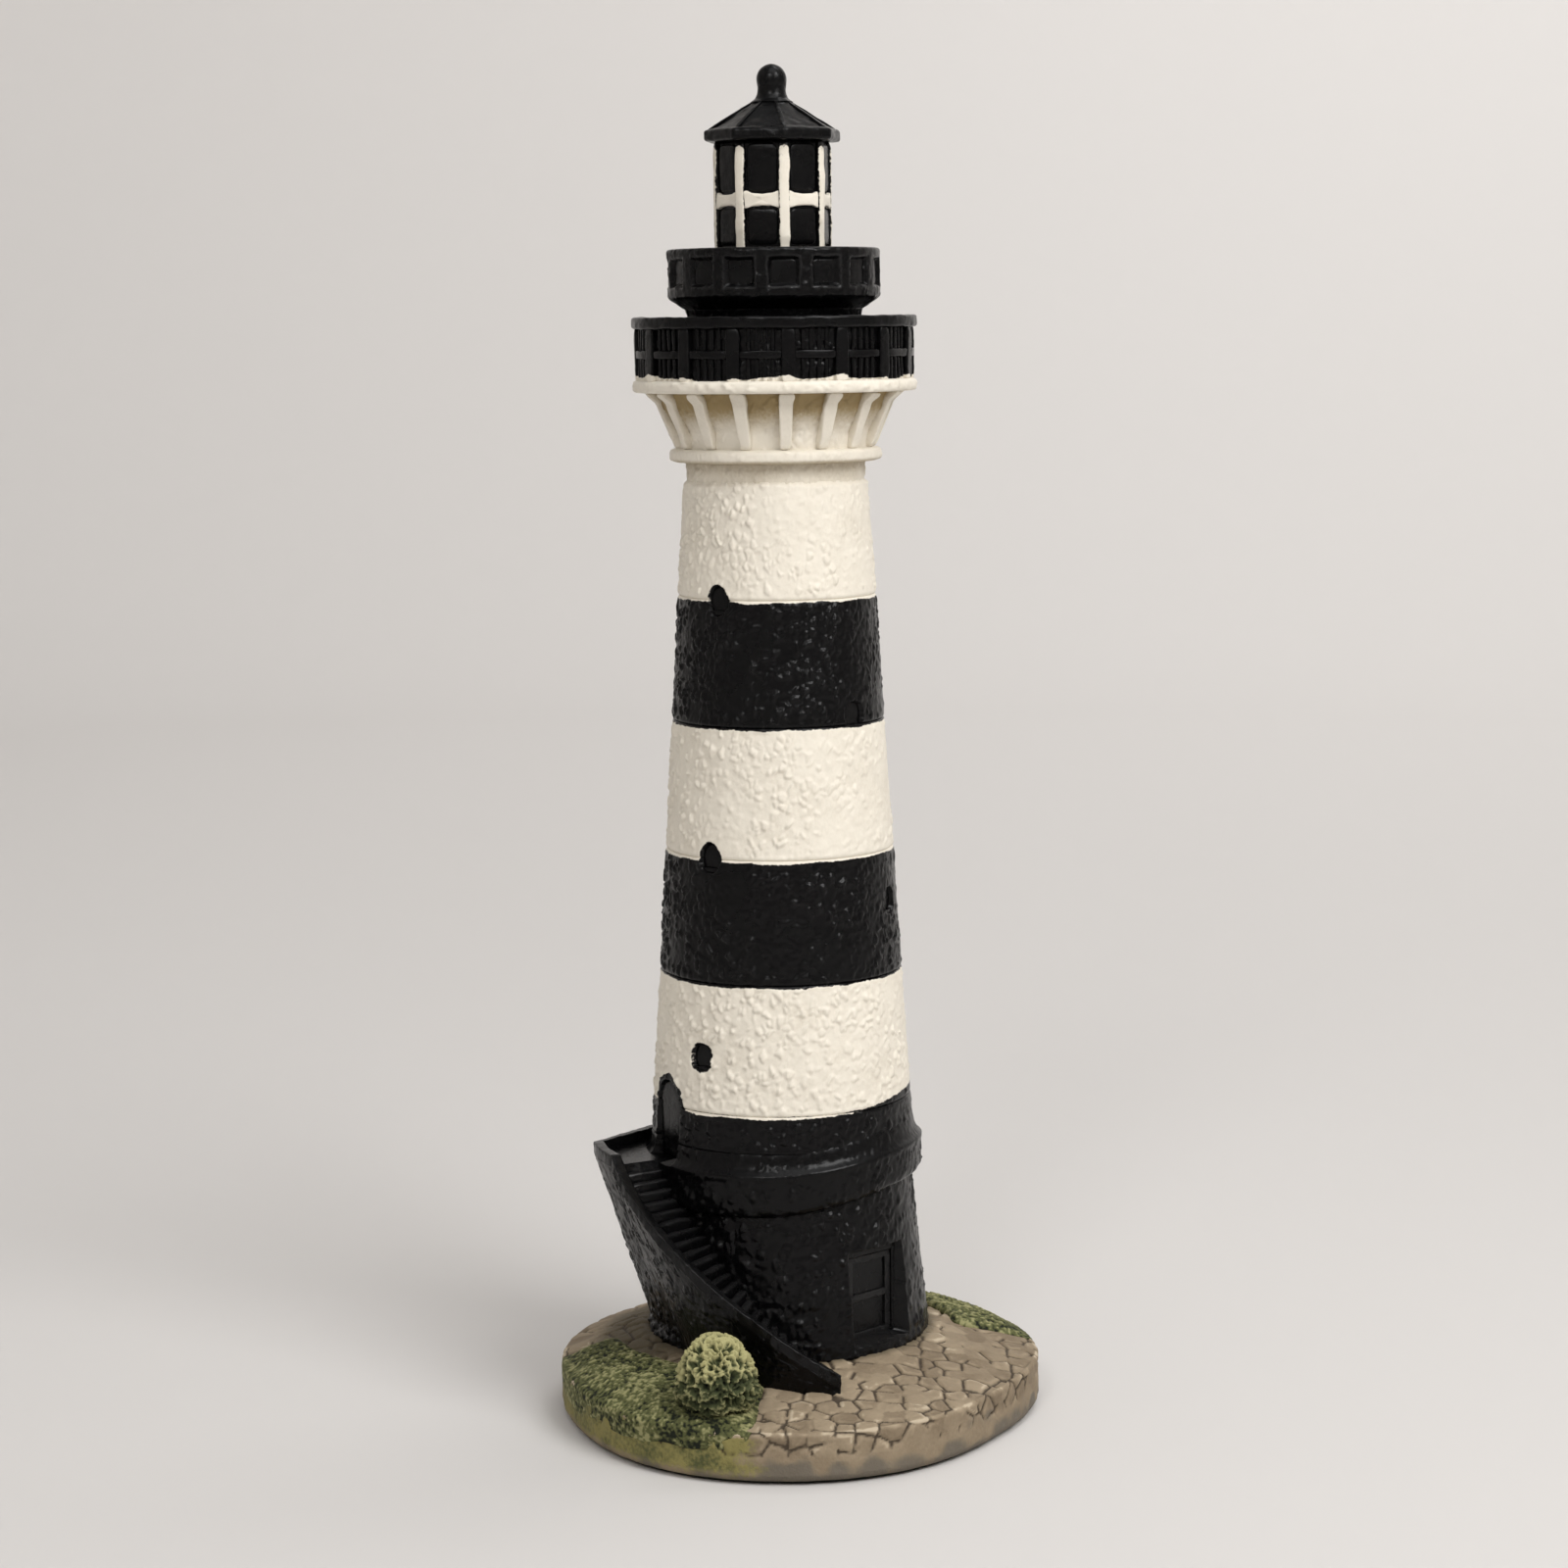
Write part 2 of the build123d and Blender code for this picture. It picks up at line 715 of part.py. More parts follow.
# Lantern: eight-sided core, uprights on its corners, a transom between them, panes on its faces
corner_start = 270 + lantern_angle
side_turn = 360 / lantern_sides
lantern_apothem = lantern_radius * cos(radians(side_turn / 2))
lantern_side = 2 * lantern_radius * sin(radians(side_turn / 2))
transom_z = parapet_top + (lantern_height - transom_height) / 2 - transom_drop
with BuildPart() as lantern_core:
    with BuildSketch(Plane.XY.offset(lantern_z)):
        RegularPolygon(lantern_radius, lantern_sides, rotation=corner_start)
    extrude(amount=eave_z - lantern_z)
    with Locations((0, 0, eave_z)):
        Cylinder(head_spigot_radius, eave_height + tip_spigot_height, align=DISC)
    with Locations((0, 0, lantern_z)):
        Cylinder(head_spigot_radius + glue_gap, spigot_height + glue_gap, align=DISC, mode=Mode.SUBTRACT)
keep(lantern_core, "lantern_core")

with BuildPart() as lantern_mullions:
    with BuildSketch(Plane.XY.offset(lantern_z)):
        with PolarLocations(lantern_radius, lantern_sides, start_angle=corner_start):
            Rectangle(2 * mullion_relief, mullion_width)
        RegularPolygon(lantern_radius, lantern_sides, rotation=corner_start, mode=Mode.SUBTRACT)
    extrude(amount=eave_z - lantern_z)
keep(lantern_mullions, "lantern_mullions")

with BuildPart() as lantern_transom:
    with BuildSketch(Plane.XY.offset(transom_z)):
        RegularPolygon(lantern_radius + mullion_relief, lantern_sides, rotation=corner_start)
        RegularPolygon(lantern_radius, lantern_sides, rotation=corner_start, mode=Mode.SUBTRACT)
        with PolarLocations(lantern_radius, lantern_sides, start_angle=corner_start):
            Rectangle(4 * mullion_relief, mullion_width, mode=Mode.SUBTRACT)
    extrude(amount=transom_height)
keep(lantern_transom, "lantern_transom")

pane_width = lantern_side - mullion_width - 2 * pane_gap
pane_rows = {
    "lantern_panes_low": (parapet_top + pane_gap, transom_z - pane_gap),
    "lantern_panes_high": (transom_z + transom_height + pane_gap, eave_z - pane_gap),
}
for label, (low, high) in pane_rows.items():
    with BuildPart() as panes:
        for i in range(lantern_sides):
            face_angle = corner_start + (i + 0.5) * side_turn
            with BuildSketch(wall_plane(face_angle, lantern_apothem, (low + high) / 2)):
                RectangleRounded(pane_width, high - low, pane_rounding)
            extrude(amount=pane_thickness)
    keep(panes, label)

# Roof and finial
with BuildPart() as roof_eave:
    with BuildSketch(Plane.XY.offset(eave_z)) as eave_plan:
        RegularPolygon(eave_radius, lantern_sides, rotation=corner_start)
        fillet(eave_plan.vertices(), eave_rounding)
        Circle(head_spigot_radius + glue_gap, mode=Mode.SUBTRACT)
    extrude(amount=eave_height)
keep(roof_eave, "roof_eave")

with BuildPart() as roof_cone:
    with BuildSketch(Plane.XY.offset(roof_z)):
        RegularPolygon(roof_radius, lantern_sides, rotation=corner_start)
    with BuildSketch(Plane.XY.offset(finial_z)):
        RegularPolygon(roof_tip_radius, lantern_sides, rotation=corner_start)
    loft(ruled=True)
roof_envelope = roof_cone.part

with BuildPart() as roof:
    add(roof_envelope)
    with Locations((0, 0, roof_z)):
        Cylinder(
            head_spigot_radius + glue_gap, tip_spigot_height + glue_gap, align=DISC, mode=Mode.SUBTRACT
        )
    with Locations((0, 0, finial_z)):
        Cylinder(tip_spigot_radius, finial_neck_height + tip_spigot_height, align=DISC)
keep(roof, "roof")

rib_reach = rib_relief * (roof_radius - roof_tip_radius) / roof_height
rib_side = [
    (roof_radius, roof_z),
    (roof_radius, roof_z + rib_relief),
    (roof_tip_radius + rib_reach, finial_z),
    (roof_tip_radius, finial_z),
    (roof_tip_radius, roof_z),
]
with BuildPart() as roof_ribs:
    for i in range(lantern_sides):
        with BuildSketch(radial_plane(corner_start + i * side_turn)):
            Polygon(*rib_side, align=None)
        extrude(amount=rib_width / 2, both=True)
    add(roof_envelope, mode=Mode.SUBTRACT)
keep(roof_ribs, "roof_ribs")

finial_wall = [(roof_tip_radius - finial_foot_setback, finial_z), (finial_neck_radius, ball_z)]
finial_neck = turned(finial_wall, tip_spigot_radius, finial_neck_height)
keep(finial_neck, "finial_neck")

with BuildPart() as finial_ball:
    with Locations((0, 0, ball_z + ball_height - ball_radius)):
        Sphere(ball_radius)
    split(bisect_by=Plane.XY.offset(ball_z), keep=Keep.TOP)
    with Locations((0, 0, ball_z)):
        Cylinder(
            tip_spigot_radius + glue_gap, tip_spigot_height + glue_gap, align=DISC, mode=Mode.SUBTRACT
        )
keep(finial_ball, "finial_ball")

for piece in pieces:
    export_step(piece, f"parts/{piece.label}.step")
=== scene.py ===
import logging
import math
from dataclasses import dataclass, field
from enum import Enum
from typing import Any, Sequence

import bpy
import numpy as np
from mathutils import Matrix, Vector


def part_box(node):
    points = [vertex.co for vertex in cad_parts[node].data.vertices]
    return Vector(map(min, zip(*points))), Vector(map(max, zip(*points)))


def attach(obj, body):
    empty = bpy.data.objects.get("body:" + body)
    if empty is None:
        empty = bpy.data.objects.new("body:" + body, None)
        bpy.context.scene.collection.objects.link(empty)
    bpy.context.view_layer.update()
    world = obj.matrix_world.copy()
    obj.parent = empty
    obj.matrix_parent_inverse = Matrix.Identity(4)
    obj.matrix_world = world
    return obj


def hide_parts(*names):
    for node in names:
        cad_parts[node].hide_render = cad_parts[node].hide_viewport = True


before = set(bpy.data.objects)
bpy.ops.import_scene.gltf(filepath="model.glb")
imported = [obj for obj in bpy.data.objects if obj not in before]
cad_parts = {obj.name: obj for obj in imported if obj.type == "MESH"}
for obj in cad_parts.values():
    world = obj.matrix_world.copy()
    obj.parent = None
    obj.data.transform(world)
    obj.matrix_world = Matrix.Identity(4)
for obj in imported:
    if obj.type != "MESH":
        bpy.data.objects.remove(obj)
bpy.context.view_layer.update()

Array = np.ndarray
Varied = Array | float
Colour = tuple[float, float, float]
Place = tuple[float, float, float]
Line = Sequence[tuple[float, float]]

LOG = logging.getLogger("lighthouse")
MM = 0.001
FRONT = 270.0


# Noise

HASH_MASK = np.uint64(0xFFFFFFFF)
HASH_STEPS = (374761393, 668265263, 2246822519, 3266489917)
HASH_SHIFTS = (15, 13, 16)
FAR_CELL = 9.0
LEAST_LENGTH = 0.01


def lattice(cell: Array, seed: int) -> Array:
    """Gives each whole-number cell a value from 0 to 1 by mixing the bits of its three numbers.

    Args:
        cell: whole numbers, (..., 3).
        seed: picks another set of values.

    Returns:
        One value for each cell, (...).
    """
    x, y, z = (np.uint64(cell[..., i].astype(np.int64)) & HASH_MASK for i in range(3))
    a, b, c, d = (np.uint64(step) for step in HASH_STEPS)
    first, second, last = (np.uint64(shift) for shift in HASH_SHIFTS)
    h = (x * a + y * b + z * c + np.uint64(seed) * d) & HASH_MASK
    h = ((h ^ (h >> first)) * c) & HASH_MASK
    h = ((h ^ (h >> second)) * d) & HASH_MASK
    return (h ^ (h >> last)).astype(float) / 2**32


def soft_noise(points: Array, size: float, seed: int) -> Array:
    """Smooth noise from -1 to 1: lattice values blended across each cell by 3t^2 - 2t^3.

    Args:
        points: places in mm, (..., 3).
        size: width of a cell in mm.
        seed: picks another pattern.

    Returns:
        One value for each point, (...).
    """
    scaled = points / size
    cell = np.floor(scaled)
    t = scaled - cell
    t = t * t * (3 - 2 * t)
    total = np.zeros(points.shape[:-1])
    for corner in np.ndindex(2, 2, 2):
        weight = np.prod(np.where(np.array(corner) == 1, t, 1 - t), axis=-1)
        total += weight * lattice(cell + corner, seed)
    return 2 * total - 1


def grain(points: Array, size: float, seed: int, octaves: int = 3) -> Array:
    """Sum of soft noises, each half as wide and half as strong as the last.

    Args:
        points: places in mm, (..., 3).
        size: width of the widest cells in mm.
        seed: picks another pattern.
        octaves: how many noises are summed.

    Returns:
        One value from about -1 to 1 for each point.
    """
    layers = [soft_noise(points, size / 2**k, seed + k) / 2**k for k in range(octaves)]
    return sum(layers) / (2 - 2 ** (1 - octaves))


def pebbles(points: Array, size: float, seed: int, spread: float = 1.0) -> tuple[Array, Array, Array]:
    """Cells round random seed points: how far the nearest one and the straight edge of its cell are.

    The edge lies midway to the second nearest seed, so its distance is that of the point from the middle
    of the two, measured along the line that joins them.

    Args:
        points: places in mm, (..., 3).
        size: width of a lattice cell in mm.
        seed: picks another pattern.
        spread: how far the seed points stray from the middles of their lattice cells, from 0 to 1.

    Returns:
        Distances to the nearest seed and to the edge in mm, and a random value of the cell.
    """
    scaled = points / size
    cell = np.floor(scaled)
    nearest = np.full(points.shape, FAR_CELL)
    second = nearest.copy()
    label = np.zeros(points.shape[:-1])
    for offset in np.ndindex(3, 3, 3):
        other = cell + np.array(offset) - 1
        stray = np.stack([lattice(other, seed + k) for k in range(3)], axis=-1) - 0.5
        way = other + 0.5 + spread * stray - scaled
        gap, best, next_best = (np.sum(v * v, axis=-1) for v in (way, nearest, second))
        closer = gap < best
        runner_up = np.where(closer[..., None], nearest, way)
        better = closer | (gap < next_best)
        second = np.where(better[..., None], runner_up, second)
        nearest = np.where(closer[..., None], way, nearest)
        label = np.where(closer, lattice(other, seed + 3), label)
    across = second - nearest
    length = np.maximum(np.linalg.norm(across, axis=-1), LEAST_LENGTH)
    edge = np.sum((nearest + second) / 2 * across, axis=-1) / length
    return size * np.linalg.norm(nearest, axis=-1), size * edge, label


def ramp(value: Array, low: float, high: float) -> Array:
    """Smooth step from 0 at low to 1 at high."""
    t = np.clip((value - low) / (high - low), 0, 1)
    return t * t * (3 - 2 * t)


def hump(offset: Array, width: float) -> Array:
    """Bell curve: 1 where the offset is 0, falling to 1/e at the width."""
    return np.exp(-((offset / width) ** 2))


def turn_from(angle: Array, centre: float, pitch: float = 360.0) -> Array:
    """Signed turn in degrees from a centre angle, or from the nearest of centres that repeat at a pitch."""
    return (angle - centre + pitch / 2) % pitch - pitch / 2


def toward(angle: Array, centre: float) -> Array:
    """Cosine of the turn from a centre angle: 1 there, 0 at a quarter turn and -1 behind."""
    return np.cos(np.radians(angle - centre))


# Skins

@dataclass
class Skin:
    """Closed grids of points, wrapped across their columns and gathered to a pole at either end.

    Attributes:
        points: places in mm, (count, rows, columns, 3), in rows from one pole to the other.
        marks: named values for each point, (count, rows, columns).
    """

    points: Array
    marks: dict[str, Array] = field(default_factory=dict)

    def faces(self) -> tuple[Array, Array]:
        """Numbers the corners of the quads between rows and of the triangles at the poles.

        Returns:
            Quads, (n, 4), and triangles, (m, 3).
        """
        count, rows, columns = self.points.shape[:3]
        index = np.arange(count * rows * columns).reshape(count, rows, columns)
        ahead = np.roll(index, -1, axis=2)
        quads = np.stack([index[:, :-1], ahead[:, :-1], ahead[:, 1:], index[:, 1:]], axis=-1)
        low = np.broadcast_to(index.size + np.arange(count)[:, None], (count, columns))
        fans = [
            np.stack([low, ahead[:, 0], index[:, 0]], axis=-1),
            np.stack([low + count, index[:, -1], ahead[:, -1]], axis=-1),
        ]
        return quads.reshape(-1, 4), np.concatenate(fans).reshape(-1, 3)

    def with_poles(self, grid: Array) -> Array:
        """Lines up the grid's values, followed by the means of its first and last rows."""
        width = grid.shape[3:]
        ends = [grid[:, row].mean(axis=1) for row in (0, -1)]
        return np.concatenate([grid.reshape(-1, *width), *ends])

    def mesh(self, name: str) -> bpy.types.Mesh:
        """Writes the skin as a smooth mesh in metres, with its marks as point attributes.

        A mesh whose faces enclose a negative volume is inside out, and its faces are turned round.

        Args:
            name: the mesh's name.

        Returns:
            The mesh.
        """
        quads, triangles = self.faces()
        places = self.with_poles(self.points) * MM
        halves = np.concatenate([quads[:, :3], quads[:, [0, 2, 3]], triangles])
        first, second, third = np.moveaxis(places[halves], 1, 0)
        if np.sum(first * np.cross(second, third)) < 0:
            quads, triangles = quads[:, ::-1], triangles[:, ::-1]
        corners = np.concatenate([quads.ravel(), triangles.ravel()])
        totals = np.concatenate([np.full(len(quads), 4), np.full(len(triangles), 3)])
        mesh = bpy.data.meshes.new(name)
        mesh.vertices.add(len(places))
        mesh.vertices.foreach_set("co", places.ravel())
        mesh.loops.add(len(corners))
        mesh.loops.foreach_set("vertex_index", corners.astype(np.int32))
        mesh.polygons.add(len(totals))
        mesh.polygons.foreach_set("loop_start", (np.cumsum(totals) - totals).astype(np.int32))
        mesh.polygons.foreach_set("use_smooth", np.ones(len(totals), dtype=bool))
        mesh.update(calc_edges=True)
        for mark, values in self.marks.items():
            layer = mesh.attributes.new(mark, "FLOAT", "POINT")
            layer.data.foreach_set("value", self.with_poles(values).astype(np.float32))
        mesh.validate()
        return mesh


def polar(radius: Array, angle: Array, height: Array) -> Array:
    """Places at a radius and an angle in degrees about the tower's axis, at a height."""
    turn = np.radians(angle)
    return np.stack(np.broadcast_arrays(radius * np.cos(turn), radius * np.sin(turn), height), axis=-1)


def bearing(points: Array) -> Array:
    """Angle of each place about the tower's axis, in degrees."""
    return np.degrees(np.arctan2(points[..., 1], points[..., 0]))


def ring_angles(columns: int) -> Array:
    """Evenly spread angles of a full turn, in degrees."""
    return np.linspace(0, 360, columns, endpoint=False)


def spokes(turn: float, count: int) -> Array:
    """Angles of pieces spread evenly round the tower, the first one a turn past the front."""
    return FRONT + turn + np.arange(count) * 360 / count


def axes_at(angle: float) -> tuple[Array, Array]:
    """Unit steps outward from the tower's axis at an angle, and across it to the viewer's right."""
    turn = math.radians(angle)
    return np.array([math.cos(turn), math.sin(turn), 0]), np.array([-math.sin(turn), math.cos(turn), 0])


def resample(line: Line, step: float, softness: int) -> Array:
    """Points at even steps along a broken line, with its corners rounded by repeated averaging.

    Args:
        line: corners of the line.
        step: spacing in mm.
        softness: how many times each inner point is averaged with its neighbours.

    Returns:
        Points, (n, 2), from the first corner to the last.
    """
    corners = np.array(line, dtype=float)
    run = np.concatenate([[0], np.cumsum(np.linalg.norm(np.diff(corners, axis=0), axis=1))])
    along = np.linspace(0, run[-1], max(3, int(run[-1] / step) + 1))
    points = np.stack([np.interp(along, run, corners[:, k]) for k in range(2)], axis=1)
    for _ in range(softness):
        points[1:-1] = (points[:-2] + 2 * points[1:-1] + points[2:]) / 4
    return points


def lathe(wall: Line, step: float, columns: int, softness: int = 2, cap_share: float = 0.5) -> Array:
    """Turned form: the wall's line of (radius, height) carried round the axis, with a row on each cap.

    Args:
        wall: corners of the line, from below to above.
        step: spacing of the rows in mm.
        columns: points in a full turn.
        softness: rounding of the corners.
        cap_share: radius of the caps' inner row, as a share of the edge's.

    Returns:
        Radius, angle and height of each point, (3, rows, columns).
    """
    line = resample(wall, step, softness)
    line = np.concatenate([line[:1] * (cap_share, 1), line, line[-1:] * (cap_share, 1)])
    shape = (len(line), columns)
    parts = (line[:, :1], ring_angles(columns)[None, :], line[:, 1:])
    return np.stack([np.broadcast_to(part, shape) for part in parts])


def bent(wave: Array, power: float) -> Array:
    """A wave raised to a power, with its sign kept."""
    return np.sign(wave) * np.abs(wave) ** power


def unit_block(rows: int, columns: int, squareness: float) -> Array:
    """Rounded block from -1 to 1: a ball whose sines and cosines are raised to a small power.

    Args:
        rows: rows from the lower to the upper pole.
        columns: points round each row.
        squareness: the power; near 0 gives a box, 1 gives a ball.

    Returns:
        Places, (rows, columns, 3): x across, y deep, z up.
    """
    rise = np.radians(np.linspace(-90, 90, rows + 2)[1:-1, None])
    turn = np.radians(ring_angles(columns)[None, :])
    ring = bent(np.cos(rise), squareness)
    x = ring * bent(np.cos(turn), squareness)
    y = ring * bent(np.sin(turn), squareness)
    z = bent(np.sin(rise), squareness) + 0 * x
    return np.stack([x, y, z], axis=-1)


def wall_blocks(
    unit: Array, angle: Array, width: Array, low: Array, high: Array, back: Array, face: Array
) -> Array:
    """Blocks bent round the tower: x becomes an arc, y a radius and z a height.

    Args:
        unit: a rounded block, (rows, columns, 3).
        angle: middle angle of each block.
        width: width of each block in mm, at its face.
        low: lower level of each block.
        high: upper level of each block.
        back: inner radius of each block.
        face: outer radius of each block.

    Returns:
        Places, (count, rows, columns, 3).
    """
    arrays = np.broadcast_arrays(*(np.atleast_1d(np.asarray(v, dtype=float)) for v in (
        angle, width, low, high, back, face)))
    angle, width, low, high, back, face = (v[:, None, None] for v in arrays)
    x, y, z = (unit[None, ..., k] for k in range(3))
    radius = (back + face) / 2 - y * (back - face) / 2
    height = (low + high) / 2 + z * (high - low) / 2
    return polar(radius, angle - np.degrees(x * width / 2 / face), height)


PLATE_SHARES = np.array([0.5, 0.97, 1.0, 1.0, 0.97, 0.93, 0.7, 0.35])
PLATE_PILLOW = np.array([0, 0, 0, 0, 0, 0.2, 0.8, 1.0])
PLATE_EDGE = 0.12


def plate(outline: Array, back: float, face: float, angle: float, level: float, pillow: float) -> Array:
    """Flat plate that faces outward: its outline drawn in towards the middle of its face and back.

    Args:
        outline: points round it, (columns, 2), anticlockwise, x to the viewer's right and y up.
        back: distance of its back from the axis.
        face: distance of its face from the axis.
        angle: angle that it faces.
        level: height of the outline's zero.
        pillow: how far the middle of the face stands proud.

    Returns:
        Places, (1, rows, columns, 3).
    """
    middle = outline.mean(axis=0)
    edge = PLATE_EDGE * (face - back)
    depth = np.array([back, back, back + edge, face - 2 * edge, face - edge / 2, face, face, face])
    depth = depth + pillow * PLATE_PILLOW
    flat = middle + PLATE_SHARES[:, None, None] * (outline - middle)
    outward, across = axes_at(angle)
    places = depth[:, None, None] * outward + flat[..., :1] * across
    return (places + (flat[..., 1:] + level) * (0, 0, 1))[None]


def rectangle_line(width: float, height: float, rounding: float, columns: int = 64) -> Array:
    """Rectangle about the origin with round corners, as a power curve sampled round it."""
    turn = np.linspace(0, 2 * math.pi, columns, endpoint=False)
    wave = np.stack([np.cos(turn), np.sin(turn)], axis=1)
    return bent(wave, 2 * rounding) * (width / 2, height / 2)


def arch_line(width: float, height: float, columns: int = 64, step: float = 0.6) -> Array:
    """Round-headed outline that stands on the origin: a half circle on two upright sides."""
    half = width / 2
    turn = np.radians(np.linspace(0, 180, columns // 2))
    head = np.stack([half * np.cos(turn), height - half + half * np.sin(turn)], axis=1)
    foot = resample([(-half, height - half), (-half, 0), (half, 0), (half, height - half)], step, 0)
    return np.concatenate([head, foot[1:-1]])


def arch_gap(across: Array, up: Array, width: float, height: float) -> Array:
    """Signed distance in mm to a round-headed outline on the origin, negative inside it."""
    spring = height - width / 2
    upright = np.maximum(np.abs(across) - width / 2, -up)
    return np.where(up < spring, upright, np.hypot(across, up - spring) - width / 2)


def box_gap(across: Array, up: Array, width: float, height: float) -> Array:
    """Signed distance in mm, by the larger overshoot, to a rectangle that stands on the origin."""
    return np.maximum(np.abs(across) - width / 2, np.abs(up - height / 2) - height / 2)


# Finishes

class Value:
    """A number that varies over a surface: arithmetic on it adds Math nodes."""

    def __init__(self, board: "Board", socket: bpy.types.NodeSocket) -> None:
        """Keeps an output socket and the board that its node is on."""
        self.board = board
        self.socket = socket

    def __add__(self, other: "Value | float") -> "Value":
        """Sum."""
        return self.board.math("ADD", self, other)

    __radd__ = __add__

    def __mul__(self, other: "Value | float") -> "Value":
        """Product."""
        return self.board.math("MULTIPLY", self, other)

    __rmul__ = __mul__

    def __sub__(self, other: "Value | float") -> "Value":
        """Difference."""
        return self.board.math("SUBTRACT", self, other)

    def __rsub__(self, other: float) -> "Value":
        """Difference from a number, so that 1 - mask works."""
        return self.board.math("SUBTRACT", other, self)

    def stirred(self, noise: "Value", amount: float) -> "Value":
        """This number moved up and down by a noise that runs from 0 to 1."""
        return self + (noise - 0.5) * amount

    def step(self, low: float, high: float) -> "Value":
        """Smooth step from 0 at low to 1 at high."""
        settings = {"interpolation_type": "SMOOTHSTEP"}
        node = self.board.node(
            "ShaderNodeMapRange", settings, {"Value": self, "From Min": low, "From Max": high}
        )
        return Value(self.board, node.outputs["Result"])


class Board:
    """The node tree of one finish, with the nodes that the finishes share."""

    def __init__(self, name: str) -> None:
        """Starts an empty material of that name."""
        self.material = bpy.data.materials.new(name)
        self.material.use_nodes = True
        self.tree = self.material.node_tree
        self.tree.nodes.clear()
        self.place = self.node("ShaderNodeTexCoord").outputs["Object"]

    def node(
        self, kind: str, settings: dict[str, Any] | None = None, inputs: dict[str | int, Any] | None = None
    ) -> bpy.types.Node:
        """Adds a node.

        Args:
            kind: the node's type.
            settings: properties, which are set first.
            inputs: a value, a socket or a Value for each named or numbered input.

        Returns:
            The node.
        """
        node = self.tree.nodes.new(kind)
        for name, setting in (settings or {}).items():
            setattr(node, name, setting)
        for name, given in (inputs or {}).items():
            source = given.socket if isinstance(given, Value) else given
            if isinstance(source, bpy.types.NodeSocket):
                self.tree.links.new(source, node.inputs[name])
            else:
                node.inputs[name].default_value = source
        return node

    def math(self, operation: str, first: Value | float, second: Value | float) -> Value:
        """Adds a Math node for two numbers."""
        node = self.node("ShaderNodeMath", {"operation": operation}, {0: first, 1: second})
        return Value(self, node.outputs[0])

    def mark(self, name: str) -> Value:
        """Reads one of the skin's own marks."""
        node = self.node("ShaderNodeAttribute", {"attribute_name": name})
        return Value(self, node.outputs["Fac"])

    def noise(self, width: float, detail: float = 3.0, roughness: float = 0.55) -> Value:
        """Adds a noise in Object coordinates whose features are about so many mm wide, from 0 to 1."""
        inputs = {"Vector": self.place, "Scale": 1 / (width * MM), "Detail": detail, "Roughness": roughness}
        return Value(self, self.node("ShaderNodeTexNoise", None, inputs).outputs["Fac"])

    def mix(self, share: Value, below: Any, above: Any) -> bpy.types.NodeSocket:
        """Adds a colour Mix.

        Args:
            share: how much of the upper colour shows, from 0 to 1.
            below: colour or socket where the share is 0.
            above: colour or socket where the share is 1.

        Returns:
            The mixed colour's socket.
        """
        below, above = ((*c, 1.0) if isinstance(c, tuple) else c for c in (below, above))
        node = self.node("ShaderNodeMix", {"data_type": "RGBA"}, {0: share, 6: below, 7: above})
        return node.outputs[2]

    def finish(
        self, colour: Any, roughness: Value | float, height: Value, depth: float, specular: float
    ) -> bpy.types.Material:
        """Joins the shader: colour, roughness and a bump.

        Args:
            colour: socket of the base colour.
            roughness: value or number.
            height: the bump's height, from about 0 to 1.
            depth: what a height of 1 stands for, in mm.
            specular: specular level.

        Returns:
            The finished material.
        """
        bump = self.node("ShaderNodeBump", None, {"Height": height, "Distance": depth * MM, "Strength": 1.0})
        inputs = {"Base Color": colour, "Roughness": roughness, "Normal": bump.outputs[0]}
        inputs["Specular IOR Level"] = specular
        shader = self.node("ShaderNodeBsdfPrincipled", None, inputs)
        self.node("ShaderNodeOutputMaterial", None, {"Surface": shader.outputs[0]})
        return self.material


class Slot(Enum):
    """The record's material slots."""

    FELT = "felt"
    PAVING = "paving"
    TURF = "turf"
    FOLIAGE = "foliage"
    BLACK = "black_paint"
    WHITE = "white_paint"


